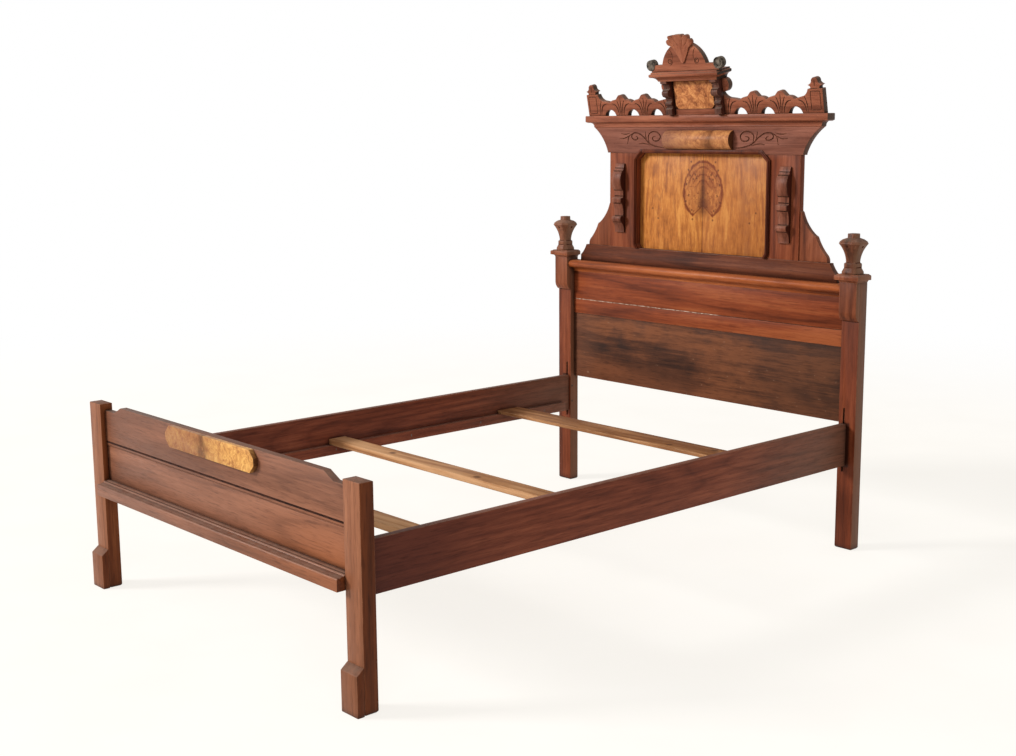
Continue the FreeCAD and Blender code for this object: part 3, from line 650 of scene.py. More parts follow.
walnut_palmette = walnut("walnut palmette", "upright", crown_tones, dust=0.6, dirt=0.5, reach=crisp_reach)
walnut_frieze = walnut("walnut frieze", "across", frieze_tones, sides=0.7, side_shading_tone=grey_side_shade, lines=0.2)
walnut_foot_across = walnut("walnut foot boards", "across", foot_tones, foot_front_sheen_tones, specular=0.2,
                            lines=0.2, warm_light=0.75)
walnut_foot_reeded = walnut("walnut foot reeds", "across", foot_tones, foot_front_sheen_tones, specular=0.2,
                            lines=0.2, warm_light=0.45, dirt=1.0, reach=crisp_reach)
walnut_foot_upright = walnut("walnut foot posts", "upright", foot_tones, post_front_sheen_tones, specular=0.12,
                             lines=0.2)
walnut_rail = walnut("walnut rails", "along", rail_tones, rings=34.0, figure=5.0, lines=0.14, bands=0.06,
                     dark_end=0.8)

# Lower board: bare and dark, paler at its left end and duller at its right, with a paler swirl that falls to
# the right and a redder lower edge that fades to the right
swirl_height = 0.568
swirl_fall_share = 0.26
swirl_half = 0.05
swirl_wander = 0.12
red_edge_low = 0.43
red_edge_high = 0.52
red_edge_full = -0.35
red_edge_faint = 0.35
pale_from = -0.46
pale_to = -0.6
dull_from = 0.05
dull_to = 0.5
bare_cloud_scale = 9.0
bare_wander_scale = 5.0
bare_rubbing_scale = 70.0
bare_tones = ((0.03, 0.0115, 0.0066), (0.078, 0.027, 0.0128), (0.18, 0.061, 0.025))
bare_swirl = (0.2, 0.066, 0.026)
bare_red = (0.17, 0.055, 0.023)
bare_pale = (0.15, 0.06, 0.034)
bare_dull = (0.056, 0.028, 0.018)
bare_pore = (0.05, 0.022, 0.014)
bare_rubbed = (0.36, 0.2, 0.12)


def lower_board():
    made, tree = start_material("walnut lower board", 0.6)
    vector = board_vector(tree, "across")
    place = object_vector(tree)
    parts = parts_of(tree, place)
    grain = use_group(tree, grain_group, {"Vector": vector, "Figure Scale": 5.0, "Ring Count": 5.0})
    wear_and_light = use_group(tree, wear_and_light_group, {"Vector": vector})
    clouds = noise(tree, stretched(tree, place, (0.55, 1.0, 1.0)), bare_cloud_scale, 5.0, 0.62, 0.4)
    tone = weighed(tree, ((clouds, 0.46), (grain["Streaks"], 0.4), (grain["Rings"], 0.14)))
    wander = wandering(tree, noise(tree, place, bare_wander_scale, 3.0), swirl_wander)
    path = weighed(tree, ((parts["X"], -swirl_fall_share), (wander, 1.0)))
    off = apart(tree, less(tree, parts["Z"], path), swirl_height)
    swirl = times(tree, stepped(tree, off, swirl_half, 0.0), stepped(tree, clouds, 0.36, 0.6, 0.25, 1.0))
    edge = times(tree, stepped(tree, plus(tree, parts["Z"], wander), red_edge_high, red_edge_low),
                 stepped(tree, parts["X"], red_edge_faint, red_edge_full, 0.25, 1.0))
    rubbing = noise(tree, stretched(tree, place, (0.4, 1.0, 1.0)), bare_rubbing_scale, 3.0, 0.7)
    # Lighter edges are wear and a painted highlight, darker corners dirt and painted shade
    colour = layered(tree, toned(tree, tone, bare_tones, 0.1), (
        (swirl, 0.55, bare_swirl),
        (edge, 0.65, bare_red),
        (stepped(tree, parts["X"], pale_from, pale_to), 0.45, bare_pale),
        (stepped(tree, parts["X"], dull_from, dull_to), 0.4, bare_dull),
        (grain["Flecks"], 0.35, bare_pore, "MULTIPLY"),
        (grain["Pores"], 0.3, bare_pore, "MULTIPLY"),
        (stepped(tree, rubbing, 0.66, 0.76), 0.5, bare_rubbed),
        (wear_and_light["Back"], 0.5, raw_wood),
        (wear_and_light["Worn"], 0.45, worn_and_lit_wood),
        (wear_and_light["Dirt"], 0.8, dirt_and_shade_wood)))
    return finished(made, colour, stepped(tree, clouds, 0.3, 0.7, 0.5, 0.7), ridged(tree, grain), 0.25)


walnut_lower = lower_board()


# Speckled finishes: dirt and painted shade in the bottoms of carved lines, dark joints and lines of painted
# shade, weathered roundels and old filler
def speckled(name, roughness, scale, dark, light, dirt=0.0):
    made, tree = start_material(name, roughness)
    place = object_vector(tree)
    tone = noise(tree, place, scale, 3.0)
    colour = ramp(tree, tone, [(0.34, dark), (0.66, light)])
    # Lighter edges (wear and a painted highlight) and darker corners (dirt and painted shade)
    if dirt:
        wear_and_light = use_group(tree, wear_and_light_group, {"Vector": place, "Dirt Reach": crisp_reach})
        colour = layered(tree, colour, ((wear_and_light["Worn"], dirt, light), (wear_and_light["Dirt"], dirt, dark)))
    return finished(made, colour, roughness, tone, 0.2)


# Dark carved lines: dirt and painted shade in the grooves; dark joints and lines of painted shade in creases
carved_line_shade = speckled("chisel line", 0.7, 90.0, (0.06, 0.018, 0.009), (0.14, 0.045, 0.024))
joint_and_shade_line = speckled("dark joint", 0.8, 60.0, (0.016, 0.005, 0.003), (0.05, 0.016, 0.008))
old_roundel = speckled("weathered roundels", 0.7, 75.0, (0.016, 0.012, 0.009), (0.2, 0.16, 0.122), 0.9)
old_filler = speckled("old filler", 0.8, 130.0, (0.16, 0.09, 0.055), (0.66, 0.52, 0.4))

# Burl veneer: streaked gold with a dark figured eye on the joint of the two matched leaves
eye_middle = 1.146
eye_half_width = 0.087
eye_half_height = 0.099
eye_taper_share = 0.12
eye_line = 0.006
eye_foot = 1.093
eye_foot_half = 0.05
eye_foot_fall_share = 0.82
eye_foot_line = 0.006
brown_streak = 0.235
brown_streak_half = 0.04
brown_streak_wander = 0.09
joint_from = 0.0018
joint_to = 0.0004
knot_half = 0.0058
knot_heart_half = 0.0012
leaf_bend = 0.02
leaf_bend_scale = 9.0
leaf_cloud_scale = 20.0
leaf_band_scale = 17.0
leaf_streak_scale = 85.0
leaf_speck_scale = 260.0
leaf_fleck_scale = 330.0
eye_wobble_scale = 42.0
eye_uneven_scale = 48.0
eye_dot_scale = 85.0
pin_knots = (
    (0.055, 1.243), (0.06, 1.196), (0.045, 1.183), (0.075, 1.165), (0.064, 1.128), (0.05, 1.075),
    (0.235, 1.075), (0.208, 1.04), (0.046, 1.043), (0.078, 1.105), (0.036, 1.199), (0.029, 1.186),
    (0.068, 1.215))
burl_tones = ((0.25, 0.075, 0.017), (0.47, 0.16, 0.034), (0.64, 0.265, 0.062))
burl_brown = (0.28, 0.09, 0.03)
burl_dark = (0.085, 0.024, 0.01)
burl_flesh = (0.44, 0.15, 0.05)
eye_tone = (0.165, 0.034, 0.01)
eye_mottle = (0.2, 0.054, 0.02)


def bent_field(tree, vector, coarse, bend):
    warp = put(tree, "TexNoise", {"Vector": vector, "Scale": coarse, "Detail": 3.0}).outputs["Color"]
    return vectors(tree, "ADD", vector, stretched(tree, warp, (bend, bend, bend)))[0]


def leaf_ground(tree, parts, matched):
    bent = bent_field(tree, matched, leaf_bend_scale, leaf_bend)
    clouds = noise(tree, bent, leaf_cloud_scale, 5.0, 0.62)
    streaks = noise(tree, stretched(tree, bent, (1.0, 1.0, 0.12)), leaf_streak_scale, 5.0, 0.7)
    bands = noise(tree, stretched(tree, bent, (1.0, 1.0, 0.14)), leaf_band_scale, 3.0, 0.55)
    flecks = noise(tree, stretched(tree, matched, (1.0, 1.0, 0.1)), leaf_fleck_scale, 3.0, 0.65)
    tone = weighed(tree, ((streaks, 0.46), (bands, 0.26), (clouds, 0.28)))
    seams = reckon(tree, "PINGPONG", times(tree, bands, 7.0), 1.0)
    seam = times(tree, stepped(tree, seams, 0.14, 0.02), stepped(tree, clouds, 0.42, 0.58))
    off = apart(tree, weighed(tree, ((parts["X"], 1.0), (bands, brown_streak_wander))), brown_streak)
    streak = times(tree, stepped(tree, off, brown_streak_half, 0.0), stepped(tree, clouds, 0.38, 0.58))
    colour = layered(tree, toned(tree, tone, burl_tones, 0.1), (
        (stepped(tree, flecks, 0.52, 0.68), 0.5, burl_brown),
        (stepped(tree, streaks, 0.44, 0.33), 0.5, burl_brown),
        (seam, 0.5, eye_mottle),
        (streak, 0.7, burl_brown),
        (stepped(tree, parts["X"], -joint_from, joint_from), 0.26, burl_brown)))
    return colour, flecks


# The eye: a rim, nested arcs in its upper half, a sloping foot on each side and a core that widens downwards
def leaf_eye(tree, colour, place, parts, side, matched):
    tall = reckon(tree, "DIVIDE", less(tree, parts["Z"], eye_middle), eye_half_height)
    taper = plus(tree, times(tree, tall, eye_taper_share), 1.0)
    wide = times(tree, reckon(tree, "DIVIDE", side, eye_half_width), taper)
    reach = reckon(tree, "SQRT", plus(tree, times(tree, wide, wide), times(tree, tall, tall)))
    wobble = noise(tree, matched, eye_wobble_scale, 4.0, 0.62)
    reach = plus(tree, reach, wandering(tree, wobble, 0.24))
    foot = less(tree, eye_foot, times(tree, side, eye_foot_fall_share))
    above = less(tree, parts["Z"], foot)
    inside = times(tree, stepped(tree, reach, 1.04, 0.9), stepped(tree, above, 0.0, eye_foot_line))
    dots = noise(tree, matched, eye_dot_scale, 3.0, 0.65, 0.8)
    uneven = noise(tree, stretched(tree, place, (1.0, 1.0, 0.6)), eye_uneven_scale, 4.0, 0.65)
    heavy = stepped(tree, uneven, 0.36, 0.52, 0.6, 1.0)
    right = stepped(tree, parts["X"], -joint_from, joint_from, 0.4, 1.0)
    arcs = reckon(tree, "PINGPONG", times(tree, reach, 9.0), 1.0)
    upper = stepped(tree, tall, -0.05, 0.4, 0.12, 1.0)
    rim = times(tree, stepped(tree, apart(tree, reach, 1.0), 0.08, 0.015),
                stepped(tree, above, -eye_foot_line, 0.0))
    slope = times(tree, stepped(tree, reckon(tree, "ABSOLUTE", above), eye_line, 0.0),
                  stepped(tree, side, eye_foot_half, eye_foot_half - eye_foot_line))
    core_half = stepped(tree, tall, -0.75, 0.4, 0.42, 0.16)
    fade = times(tree, stepped(tree, tall, -1.1, -0.6), stepped(tree, tall, 0.95, 0.3))
    core = times(tree, stepped(tree, wide, core_half, 0.0), fade, stepped(tree, dots, 0.3, 0.55, 0.65, 1.0))
    return layered(tree, colour, (
        (inside, 0.32, burl_flesh),
        (times(tree, stepped(tree, uneven, 0.4, 0.54), right, inside), 0.6, eye_mottle),
        (times(tree, stepped(tree, arcs, 0.5, 0.95), upper, inside, heavy), 0.85, eye_tone),
        (times(tree, stepped(tree, dots, 0.56, 0.64), inside), 0.75, eye_tone),
        (times(tree, rim, heavy), 0.97, eye_tone),
        (times(tree, slope, heavy), 0.9, eye_tone),
        (core, 0.92, burl_dark)))


def book_matched():
    made, tree = start_material("burl leaves", 0.38)
    place = object_vector(tree)
    parts = parts_of(tree, place)
    side = reckon(tree, "ABSOLUTE", parts["X"])
    matched = put(tree, "CombineXYZ", {"X": side, "Y": 0.0, "Z": parts["Z"]}).outputs[0]
    colour, flecks = leaf_ground(tree, parts, matched)
    colour = leaf_eye(tree, colour, place, parts, side, matched)
    specks = noise(tree, matched, leaf_speck_scale, 3.0, 0.6)
    ragged = wandering(tree, specks, knot_half)
    marks = []
    for across, up in pin_knots:
        gap = plus(tree, vectors(tree, "DISTANCE", matched, (across, 0, up))["Value"], ragged)
        marks.append((stepped(tree, gap, knot_half, knot_heart_half), 0.85, burl_dark))
    marks.append((stepped(tree, side, joint_from, joint_to), 0.9, burl_dark))
    rough = stepped(tree, specks, 0.3, 0.7, 0.34, 0.5)
    return finished(made, layered(tree, colour, marks), rough, flecks, 0.12, burl_bump_depth)


# Burl blocks: curled figure, greyed towards one end, two of them with a dark streak across
block_scale = 14.0
block_cloud_scale = 30.8
block_curl_scale = 58.8
block_speck_scale = 190.0
block_bend = 0.05
streak_wander_scale = 24.0
streak_wander = 0.09
streak_half = 0.034
tower_ends = (-0.12, -0.06)
frieze_ends = (-0.16, 0.03)
frieze_streak = 0.06
foot_ends = (-0.1, 0.16)
foot_streak = -0.035
# Dark ends of the burl blocks: dark core wood and painted shade
block_side_shade = (0.05, 0.014, 0.006)


def cross_streak(tree, place, across, curls, middle):
    wander = wandering(tree, noise(tree, place, streak_wander_scale, 3.0), streak_wander)
    off = apart(tree, plus(tree, across, wander), middle)
    return times(tree, stepped(tree, off, streak_half, 0.0), stepped(tree, curls, 0.34, 0.54, 0.3, 1.0))


def burl_block(name, tones, grey, ends, streak=None):
    made, tree = start_material(name, 0.4)
    place = object_vector(tree)
    parts = parts_of(tree, place)
    bent = bent_field(tree, place, block_scale, block_bend)
    clouds = noise(tree, bent, block_cloud_scale, 5.0, 0.62)
    specks = noise(tree, bent, block_speck_scale, 3.0, 0.6)
    curls = noise(tree, bent, block_curl_scale, 5.0, 0.66, 1.2)
    bright = stepped(tree, parts["X"], *ends)
    layers = [(less(tree, 1.0, bright), 0.65, grey), (stepped(tree, specks, 0.56, 0.76), 0.4, burl_dark)]
    if streak is not None:
        layers.append((cross_streak(tree, place, parts["X"], curls, streak), 0.8, burl_dark))
    wear_and_light = use_group(tree, wear_and_light_group, {"Vector": place})
    # Lighter edges (wear and a painted highlight), painted side shade on the ends over the dark core, and
    # darker corners (dirt and painted shade)
    layers += [(wear_and_light["Worn"], 0.3, tones[2]), (wear_and_light["Side"], 0.92, block_side_shade)]
    layers.append((wear_and_light["Dirt"], 0.6, burl_dark))
    colour = toned(tree, weighed(tree, ((clouds, 0.4), (curls, 0.6))), tones, 0.11)
    rough = stepped(tree, specks, 0.3, 0.7, 0.34, 0.5)
    return finished(made, layered(tree, colour, layers), rough, specks, 0.1, burl_bump_depth)


burl_leaves = book_matched()
burl_tower = burl_block("burl tower panel", ((0.2, 0.06, 0.022), (0.44, 0.155, 0.052), (0.66, 0.29, 0.1)),
                        (0.42, 0.16, 0.08), tower_ends)
burl_frieze = burl_block("burl frieze tablet", ((0.28, 0.1, 0.038), (0.48, 0.19, 0.07), (0.64, 0.29, 0.1)),
                         (0.18, 0.075, 0.055), frieze_ends, frieze_streak)
burl_foot = burl_block("burl foot tablet", ((0.4, 0.16, 0.045), (0.66, 0.32, 0.09), (0.84, 0.48, 0.14)),
                       (0.2, 0.066, 0.036), foot_ends, foot_streak)

# Pine: bare planed slats with dark knots, a little longer than wide
knot_radius = 0.015
knot_heart = 0.004
knot_narrow_share = 0.75
knot_places = ((-0.31, -0.14), (0.12, -0.15), (0.2, 0.62), (0.36, 0.66))
pine_figure_scale = 16.0
pine_pore_scale = 500.0
pine_tones = ((0.24, 0.1, 0.038), (0.44, 0.212, 0.09), (0.59, 0.325, 0.16))
pine_pore = (0.27, 0.12, 0.05)
pine_knot = (0.09, 0.035, 0.016)
pine_worn_and_lit = (0.68, 0.43, 0.25)
pine_dirt_and_shade = (0.12, 0.05, 0.022)


def pine():
    made, tree = start_material("pine slats", 0.6)
    vector = board_vector(tree, "across")
    grain = use_group(tree, grain_group, {"Vector": vector, "Figure Scale": pine_figure_scale,
                                          "Ring Count": 8.0, "Pore Scale": pine_pore_scale})
    wear_and_light = use_group(tree, wear_and_light_group, {"Vector": vector})
    tone = weighed(tree, ((grain["Rings"], 0.2), (grain["Mottle"], 0.4), (grain["Streaks"], 0.4),
                          (attribute(tree, "board_stain", "Fac"), 1.0)))
    flat = stretched(tree, object_vector(tree), (knot_narrow_share, 1.0, 0.0))
    layers = [(grain["Pores"], 0.25, pine_pore)]
    for across, along in knot_places:
        away = vectors(tree, "DISTANCE", flat, (knot_narrow_share * across, along, 0))["Value"]
        layers.append((stepped(tree, away, knot_radius, knot_heart), 0.85, pine_knot))
    # Lighter edges (wear and a painted highlight) and darker corners (dirt and painted shade)
    layers += [(wear_and_light["Worn"], 0.4, pine_worn_and_lit), (wear_and_light["Dirt"], 0.5, pine_dirt_and_shade)]
    colour = layered(tree, toned(tree, tone, pine_tones), layers)
    rough = stepped(tree, grain["Mottle"], 0.3, 0.7, 0.52, 0.7)
    return finished(made, colour, rough, less(tree, grain["Rings"], grain["Pores"]), 0.2)


pine_slats = pine()


# Iron: hand-forged hooks, pins and cut nails, dark with some rust
rust_scale = 120.0


def forged(name, dark, rust):
    made, tree = start_material(name, 0.6, 0.5)
    spots = noise(tree, object_vector(tree), rust_scale, 4.0, 0.65)
    colour = ramp(tree, spots, [(0.4, dark), (0.68, rust)])
    metallic = stepped(tree, spots, 0.5, 0.66, 1.0, 0.1)
    return finished(made, colour, stepped(tree, spots, 0.4, 0.66, 0.45, 0.8), spots, 0.3, metallic=metallic)


def coat(nodes, finish):
    for node in nodes:
        materials = frame["nodes"][node].data.materials
        materials.clear()
        materials.append(finish)


dark_iron = forged("forged iron", (0.07, 0.062, 0.056), (0.13, 0.05, 0.022))
nail_steel = forged("cut nail steel", (0.16, 0.15, 0.14), (0.17, 0.075, 0.035))
coat(both_sides("rail_hooks") + ["hook_pins"], dark_iron)
coat(both_sides("ledger_nails"), nail_steel)


# Carving tools: strokes along smooth curves, joined and cut out of a piece
def stroke(points, width, closed=False, end_share=0.35):
    bpy.ops.object.select_all(action="DESELECT")
    bpy.ops.curve.primitive_nurbs_path_add()
    line = bpy.context.object
    spline = line.data.splines[0]
    spline.points.add(max(0, len(points) - len(spline.points)))
    for index, control in enumerate(spline.points):
        near_end = index in (0, len(points) - 1) and not closed
        control.co = (*points[min(index, len(points) - 1)], 1)
        control.radius = end_share if near_end else 1.0
    spline.order_u = line_order
    spline.use_endpoint_u = not closed
    spline.use_cyclic_u = closed
    spline.resolution_u = line_steps
    line.data.bevel_depth = width / 2
    line.data.bevel_resolution = line_sides
    line.data.use_fill_caps = not closed
    bpy.ops.object.convert(target="MESH")
    return bpy.context.object


def carve(piece, cutters, finish):
    take(cutters[0])
    for one in cutters[1:]:
        one.select_set(True)
    if len(cutters) > 1:
        bpy.ops.object.join()
    cutter = cutters[0]
    cutter.data.materials.clear()
    cutter.data.materials.append(finish)
    close_up(cutter)
    cut = piece.modifiers.new("carving", "BOOLEAN")
    cut.object = cutter
    cut.operation = "DIFFERENCE"
    cut.solver = "EXACT"
    cut.use_self = True
    cut.material_mode = "TRANSFER"
    apply_all(piece)
    bpy.data.objects.remove(cutter)


def carved(piece, node, width, finish, cutters, line=carved_line_shade, stain=even):
    ease(piece, width)
    piece.data.materials.append(finish)
    carve(piece, cutters, line)
    stand_for(piece, node, finish, stain)


def on_crown(points, proud=0.0):
    return [tuple(lean @ Vector((x, gallery_front - proud, cornice_top + z))) for x, z in points]


# Galleries: flutes that fan out on each palmette, and a sunk panel and a vein on the end post
def gallery_strokes(side):
    strokes = []
    for index in range(palmette_count):
        middle = palmette_first + index * palmette_pitch
        ways = [way for way in (-1, 1) if 0 <= index + way < palmette_count]
        drawn = [(way, shares) for way in ways for shares in flute_shares]
        if len(ways) > 1:
            drawn.append((1, vein_shares))
        for way, shares in drawn:
            half = way * palmette_pitch / 2
            points = [(side * (middle + u * half), v * palmette_height) for u, v in shares]
            strokes.append(stroke(on_crown(points), line_width))
    middle = side * end_panel_middle
    outline = []
    for across, up in ((1, 1), (1, -1), (-1, -1), (-1, 1)):
        x = middle + across * end_panel_half
        z = end_panel_high if up > 0 else end_panel_low
        turn = [(x - across * end_panel_corner, z), (x, z), (x, z - up * end_panel_corner)]
        outline += turn if across * up > 0 else turn[::-1]
    strokes.append(stroke(on_crown(outline), thin_line, True))
    vein_middle = (trefoil_vein_low + trefoil_vein_high) / 2
    vein = [(middle, trefoil_vein_low), (middle, vein_middle), (middle, trefoil_vein_high)]
    strokes.append(stroke(on_crown(vein), line_width))
    neck = [(x, trefoil_foot) for x in (middle - trefoil_half, middle, middle + trefoil_half)]
    strokes.append(stroke(on_crown(neck), thin_line))
    return strokes


for name, side, stain in (("left", -1, (-0.05, -0.05)), ("right", 1, (-0.055, -0.055))):
    node = "gallery_" + name
    gallery = copied(node, "carved_" + node)
    carved(gallery, node, carved_edge, walnut_crown, gallery_strokes(side), stain=stain)


# Frieze: a scroll of stems and leaves on each side of the tablet
def frieze_strokes(front):
    strokes = []
    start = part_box("frieze_tablet")[1].x + scroll_gap
    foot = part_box("frieze_board")[0].z + scroll_foot
    for side in (-1, 1):
        for shares in scroll_shares:
            points = [(side * (start + u * scroll_length), front, foot + v * scroll_height)
                      for u, v in shares]
            strokes.append(stroke(points, line_width))
    return strokes


frieze = copied("frieze_board", "carved_frieze_board")
frieze_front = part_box("frieze_board")[0].y
carved(frieze, "frieze_board", board_edge, walnut_frieze, frieze_strokes(frieze_front), stain=(-0.08, 0.09))


# Pediment: a small spiral and a leaf on each side of the palmette
def pediment_strokes():
    strokes = []
    for side in (-1, 1):
        middle_x, middle_z = spiral_place
        points = []
        for step in range(spiral_steps):
            turn = spiral_start + step * spiral_turn
            radius = spiral_radius * (1 - spiral_close_share * step / spiral_steps)
            points.append((side * (middle_x - radius * math.cos(turn)), middle_z + radius * math.sin(turn)))
        strokes.append(stroke(on_crown(points, pediment_proud), thin_line))
        leaf = [(side * x, z) for x, z in leaf_points]
        strokes.append(stroke(on_crown(leaf, pediment_proud), thin_line))
    return strokes


pediment = copied("pediment", "carved_pediment")
carved(pediment, "pediment", board_edge, walnut_crown, pediment_strokes(), stain=(0.02, 0.02))


# Palmette: flutes between its lobes, then all of it rounded over as by a rasp
def on_palm(u, v):
    rise = max(0.0, 2 * v * v - v)
    proud = pediment_proud + palm_tail_proud + (palm_proud - palm_tail_proud) * rise
    return on_crown([(u * palm_half, palm_low + v * palm_height)], proud)[0]


def palm_strokes():
    strokes = [stroke([on_palm(u, v) for u, v in palm_neck_shares], thin_line)]
    for side in (-1, 1):
        for shares in palm_stroke_shares:
            strokes.append(stroke([on_palm(side * u, v) for u, v in shares], palm_line))
    return strokes


palmette = copied("palmette", "carved_palmette")
carve(palmette, palm_strokes(), carved_line_shade)
remesh = palmette.modifiers.new("even skin", "REMESH")
remesh.mode = "VOXEL"
remesh.voxel_size = palm_grit
rasp = palmette.modifiers.new("rasped", "SMOOTH")
rasp.iterations = palm_rounding
apply_all(palmette)
palmette.data.materials.clear()
stand_for(palmette, "palmette", walnut_palmette)


# Roundels: turned discs with a rim, a hollow and a boss
def turned_roundel(node):
    low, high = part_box(node)
    radius = (high.x - low.x) / 2
    bpy.ops.object.select_all(action="DESELECT")
    bpy.ops.mesh.primitive_cylinder_add(vertices=roundel_sides, radius=radius, depth=roundel_thickness)
    piece = bpy.context.object
    piece.name = "turned_" + node
    for face in piece.data.polygons:
        face.select = face.normal.z > roundel_face_share
    bpy.ops.object.mode_set(mode="EDIT")
    bpy.ops.mesh.select_mode(type="FACE")
    for inset, rise in roundel_step_shares:
        bpy.ops.mesh.inset(thickness=inset * radius, depth=rise * radius)
    bpy.ops.object.mode_set(mode="OBJECT")
    ease(piece, moulding_edge)
    piece.matrix_world = (Matrix.Translation((low + high) / 2) @ Matrix.Rotation(crown_lean, 4, "X")
                          @ Matrix.Rotation(roundel_turn, 4, "X"))
    take(piece)
    bpy.ops.object.transform_apply(location=True, rotation=True, scale=True)
    stand_for(piece, node, old_roundel)


for node in both_sides("roundel"):
    turned_roundel(node)


# Finials: faceted vases with two grooves round the foot and a small hollow drilled in each broad face
four_ways = [Vector(way) for way in ((1, 0, 0), (-1, 0, 0), (0, 1, 0), (0, -1, 0))]


def groove(piece, middle, far):
    cuts = []
    for out in four_ways:
        along = Vector((-out.y, out.x, 0))
        found, place = piece.ray_cast(middle + far * out, -out)[:2]
        if found:
            half = (place - middle).length
            ends = [tuple(place + step * half * along) for step in (-1, 0, 1)]
            cuts.append(stroke(ends, groove_width, end_share=1.0))
    return cuts


def drilled_finial(node):
    piece = copied(node, "drilled_" + node)
    low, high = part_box(node)
    middle = (low + high) / 2
    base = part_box(node.replace("finial", "post_cap"))[1].z
    tall = high.z - base
    far = high.x - low.x
    hollows = []
    for share in groove_shares:
        hollows += groove(piece, Vector((middle.x, middle.y, base + share * tall)), far)
    for out in four_ways:
        start = Vector((middle.x, middle.y, base + dimple_share * tall)) + out * far
        found, place = piece.ray_cast(start, -out)[:2]
        if found:
            bpy.ops.object.select_all(action="DESELECT")
            bpy.ops.mesh.primitive_uv_sphere_add(segments=dimple_sides, ring_count=dimple_rings,
                                                 radius=dimple_radius, location=place)
            hollows.append(bpy.context.object)
    carved(piece, node, board_edge, walnut_finial, hollows)


for node in both_sides("head_finial"):
    drilled_finial(node)


# Corbels and brackets: turned-looking steps marked off by scored lines, dark as painted shade in the notches
def scored(node, finish, shares):
    piece = copied(node, "scored_" + node)
    low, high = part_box(node)
    middle = (low.x + high.x) / 2
    cuts = []
    for share in shares:
        start = Vector((middle, low.y - high.z, high.z - share * (high.z - low.z)))
        found, place = piece.ray_cast(start, Vector((0, 1, 0)))[:2]
        if found:
            ends = [(x, place.y, place.z) for x in (low.x, middle, high.x)]
            cuts.append(stroke(ends, score_width, end_share=1.0))
    carved(piece, node, moulding_edge, finish, cuts, joint_and_shade_line)


for node in both_sides("corbel"):
    scored(node, walnut_corbel, corbel_score_shares)
for node in both_sides("tower_bracket"):
    scored(node, walnut_bracket, bracket_score_shares)


# Foot rail: dark lines of painted shade between its reeds, and a dark joint where it meets the panel
def reeded_rail():
    piece = copied("foot_bottom_rail", "reeded_foot_bottom_rail")
    low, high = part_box("foot_bottom_rail")
    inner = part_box("foot_post_right")[0].x
    cuts = []
    for back, up, share in rail_score_shares:
        y = low.y + back * rail_moulding_depth
        z = high.z - (1 - up) * rail_moulding_height
        cuts.append(stroke([(x, y, z) for x in (-inner, 0, inner)], share * score_width, end_share=1.0))
    carved(piece, "foot_bottom_rail", moulding_edge, walnut_foot_reeded, cuts, joint_and_shade_line, (-0.06, -0.06))


reeded_rail()


# Footboard top: the reed line above the joint is painted dark as the shade under the reed
def reeded_top():
    piece = copied("foot_top_board", "reeded_foot_top_board")
    ease(piece, board_edge)
    piece.data.materials.append(walnut_foot_across)
    piece.data.materials.append(joint_and_shade_line)
    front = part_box("foot_top_board")[0].y
    for face in piece.data.polygons:
        in_reed = reed_low < face.center.z < reed_high and face.center.y < front + dirt_and_shade_reach
        if in_reed and face.normal.y > -reed_face_share:
            face.material_index = 1
    stand_for(piece, "foot_top_board", walnut_foot_across, (-0.1, 0.0))


reeded_top()


# Plain pieces: each solid copied, with its edges eased and the grain running its own way
def dress(nodes, finish, width, stain=even, moulded=False):
    for node in nodes:
        piece = copied(node, "eased_" + node)
        ease(piece, width, moulding_angle if moulded else sharp_angle, moulded)
        stand_for(piece, node, finish, stain)


dress(["head_post_left"], walnut_head_post, post_edge)
dress(["head_post_right"], walnut_head_post, post_edge, (-0.06, -0.06))
dress(both_sides("head_post_block"), walnut_cap, board_edge, (0.04, 0.04))
dress(both_sides("head_post_cap"), walnut_cap, moulding_edge, (0.07, 0.07), moulded=True)
dress(both_sides("wing"), walnut_wing, board_edge)
dress(["stile_left"], walnut_head_upright, board_edge, (0.1, 0.1))
dress(["stile_right"], walnut_head_upright, board_edge, (0.02, 0.09))
dress(["head_upper_board"], walnut_head_across, board_edge, (-0.03, -0.03))
dress(["head_middle_board"], walnut_head_across, board_edge, (-0.12, 0.15))
dress(["head_base_board"], walnut_base, board_edge, (-0.06, 0.06))
dress(["head_lower_board"], walnut_lower, board_edge)
dress(["head_roll_rail"], walnut_roll, board_edge)
dress(both_sides("panel_bead") + ["panel_bead_top"], walnut_bead, moulding_edge)
dress(["panel_ground"], walnut_base, board_edge)
dress(["cornice"], walnut_crown, board_edge, (-0.03, -0.03))
dress(["tower_board", "tower_plinth"], walnut_crown, board_edge)
dress(["tower_hood"], walnut_hood, board_edge, (0.06, 0.06))
dress(["foot_post_left"], walnut_foot_upright, post_edge, (0.06, 0.06))
dress(["foot_post_right"], walnut_foot_upright, post_edge)
dress(["foot_block_left"], walnut_foot_upright, post_edge, (0.04, 0.04))
dress(["foot_block_right"], walnut_foot_upright, post_edge, (-0.12, -0.12))
dress(["foot_panel"], walnut_foot_across, board_edge, (0.02, 0.03))
dress(both_sides("side_rail"), walnut_rail, post_edge)
dress(both_sides("ledger"), walnut_rail, board_edge, (0.02, 0.02))
dress(both_sides("burl_leaf"), burl_leaves, leaf_edge)
dress(["tower_burl_panel"], burl_tower, board_edge)
dress(["frieze_tablet"], burl_frieze, board_edge)
dress(["foot_tablet"], burl_foot, board_edge)
dress(["slat_foot", "slat_middle"], pine_slats, slat_edge, (0.03, 0.03))
dress(["slat_head"], pine_slats, slat_edge, (-0.05, -0.05))


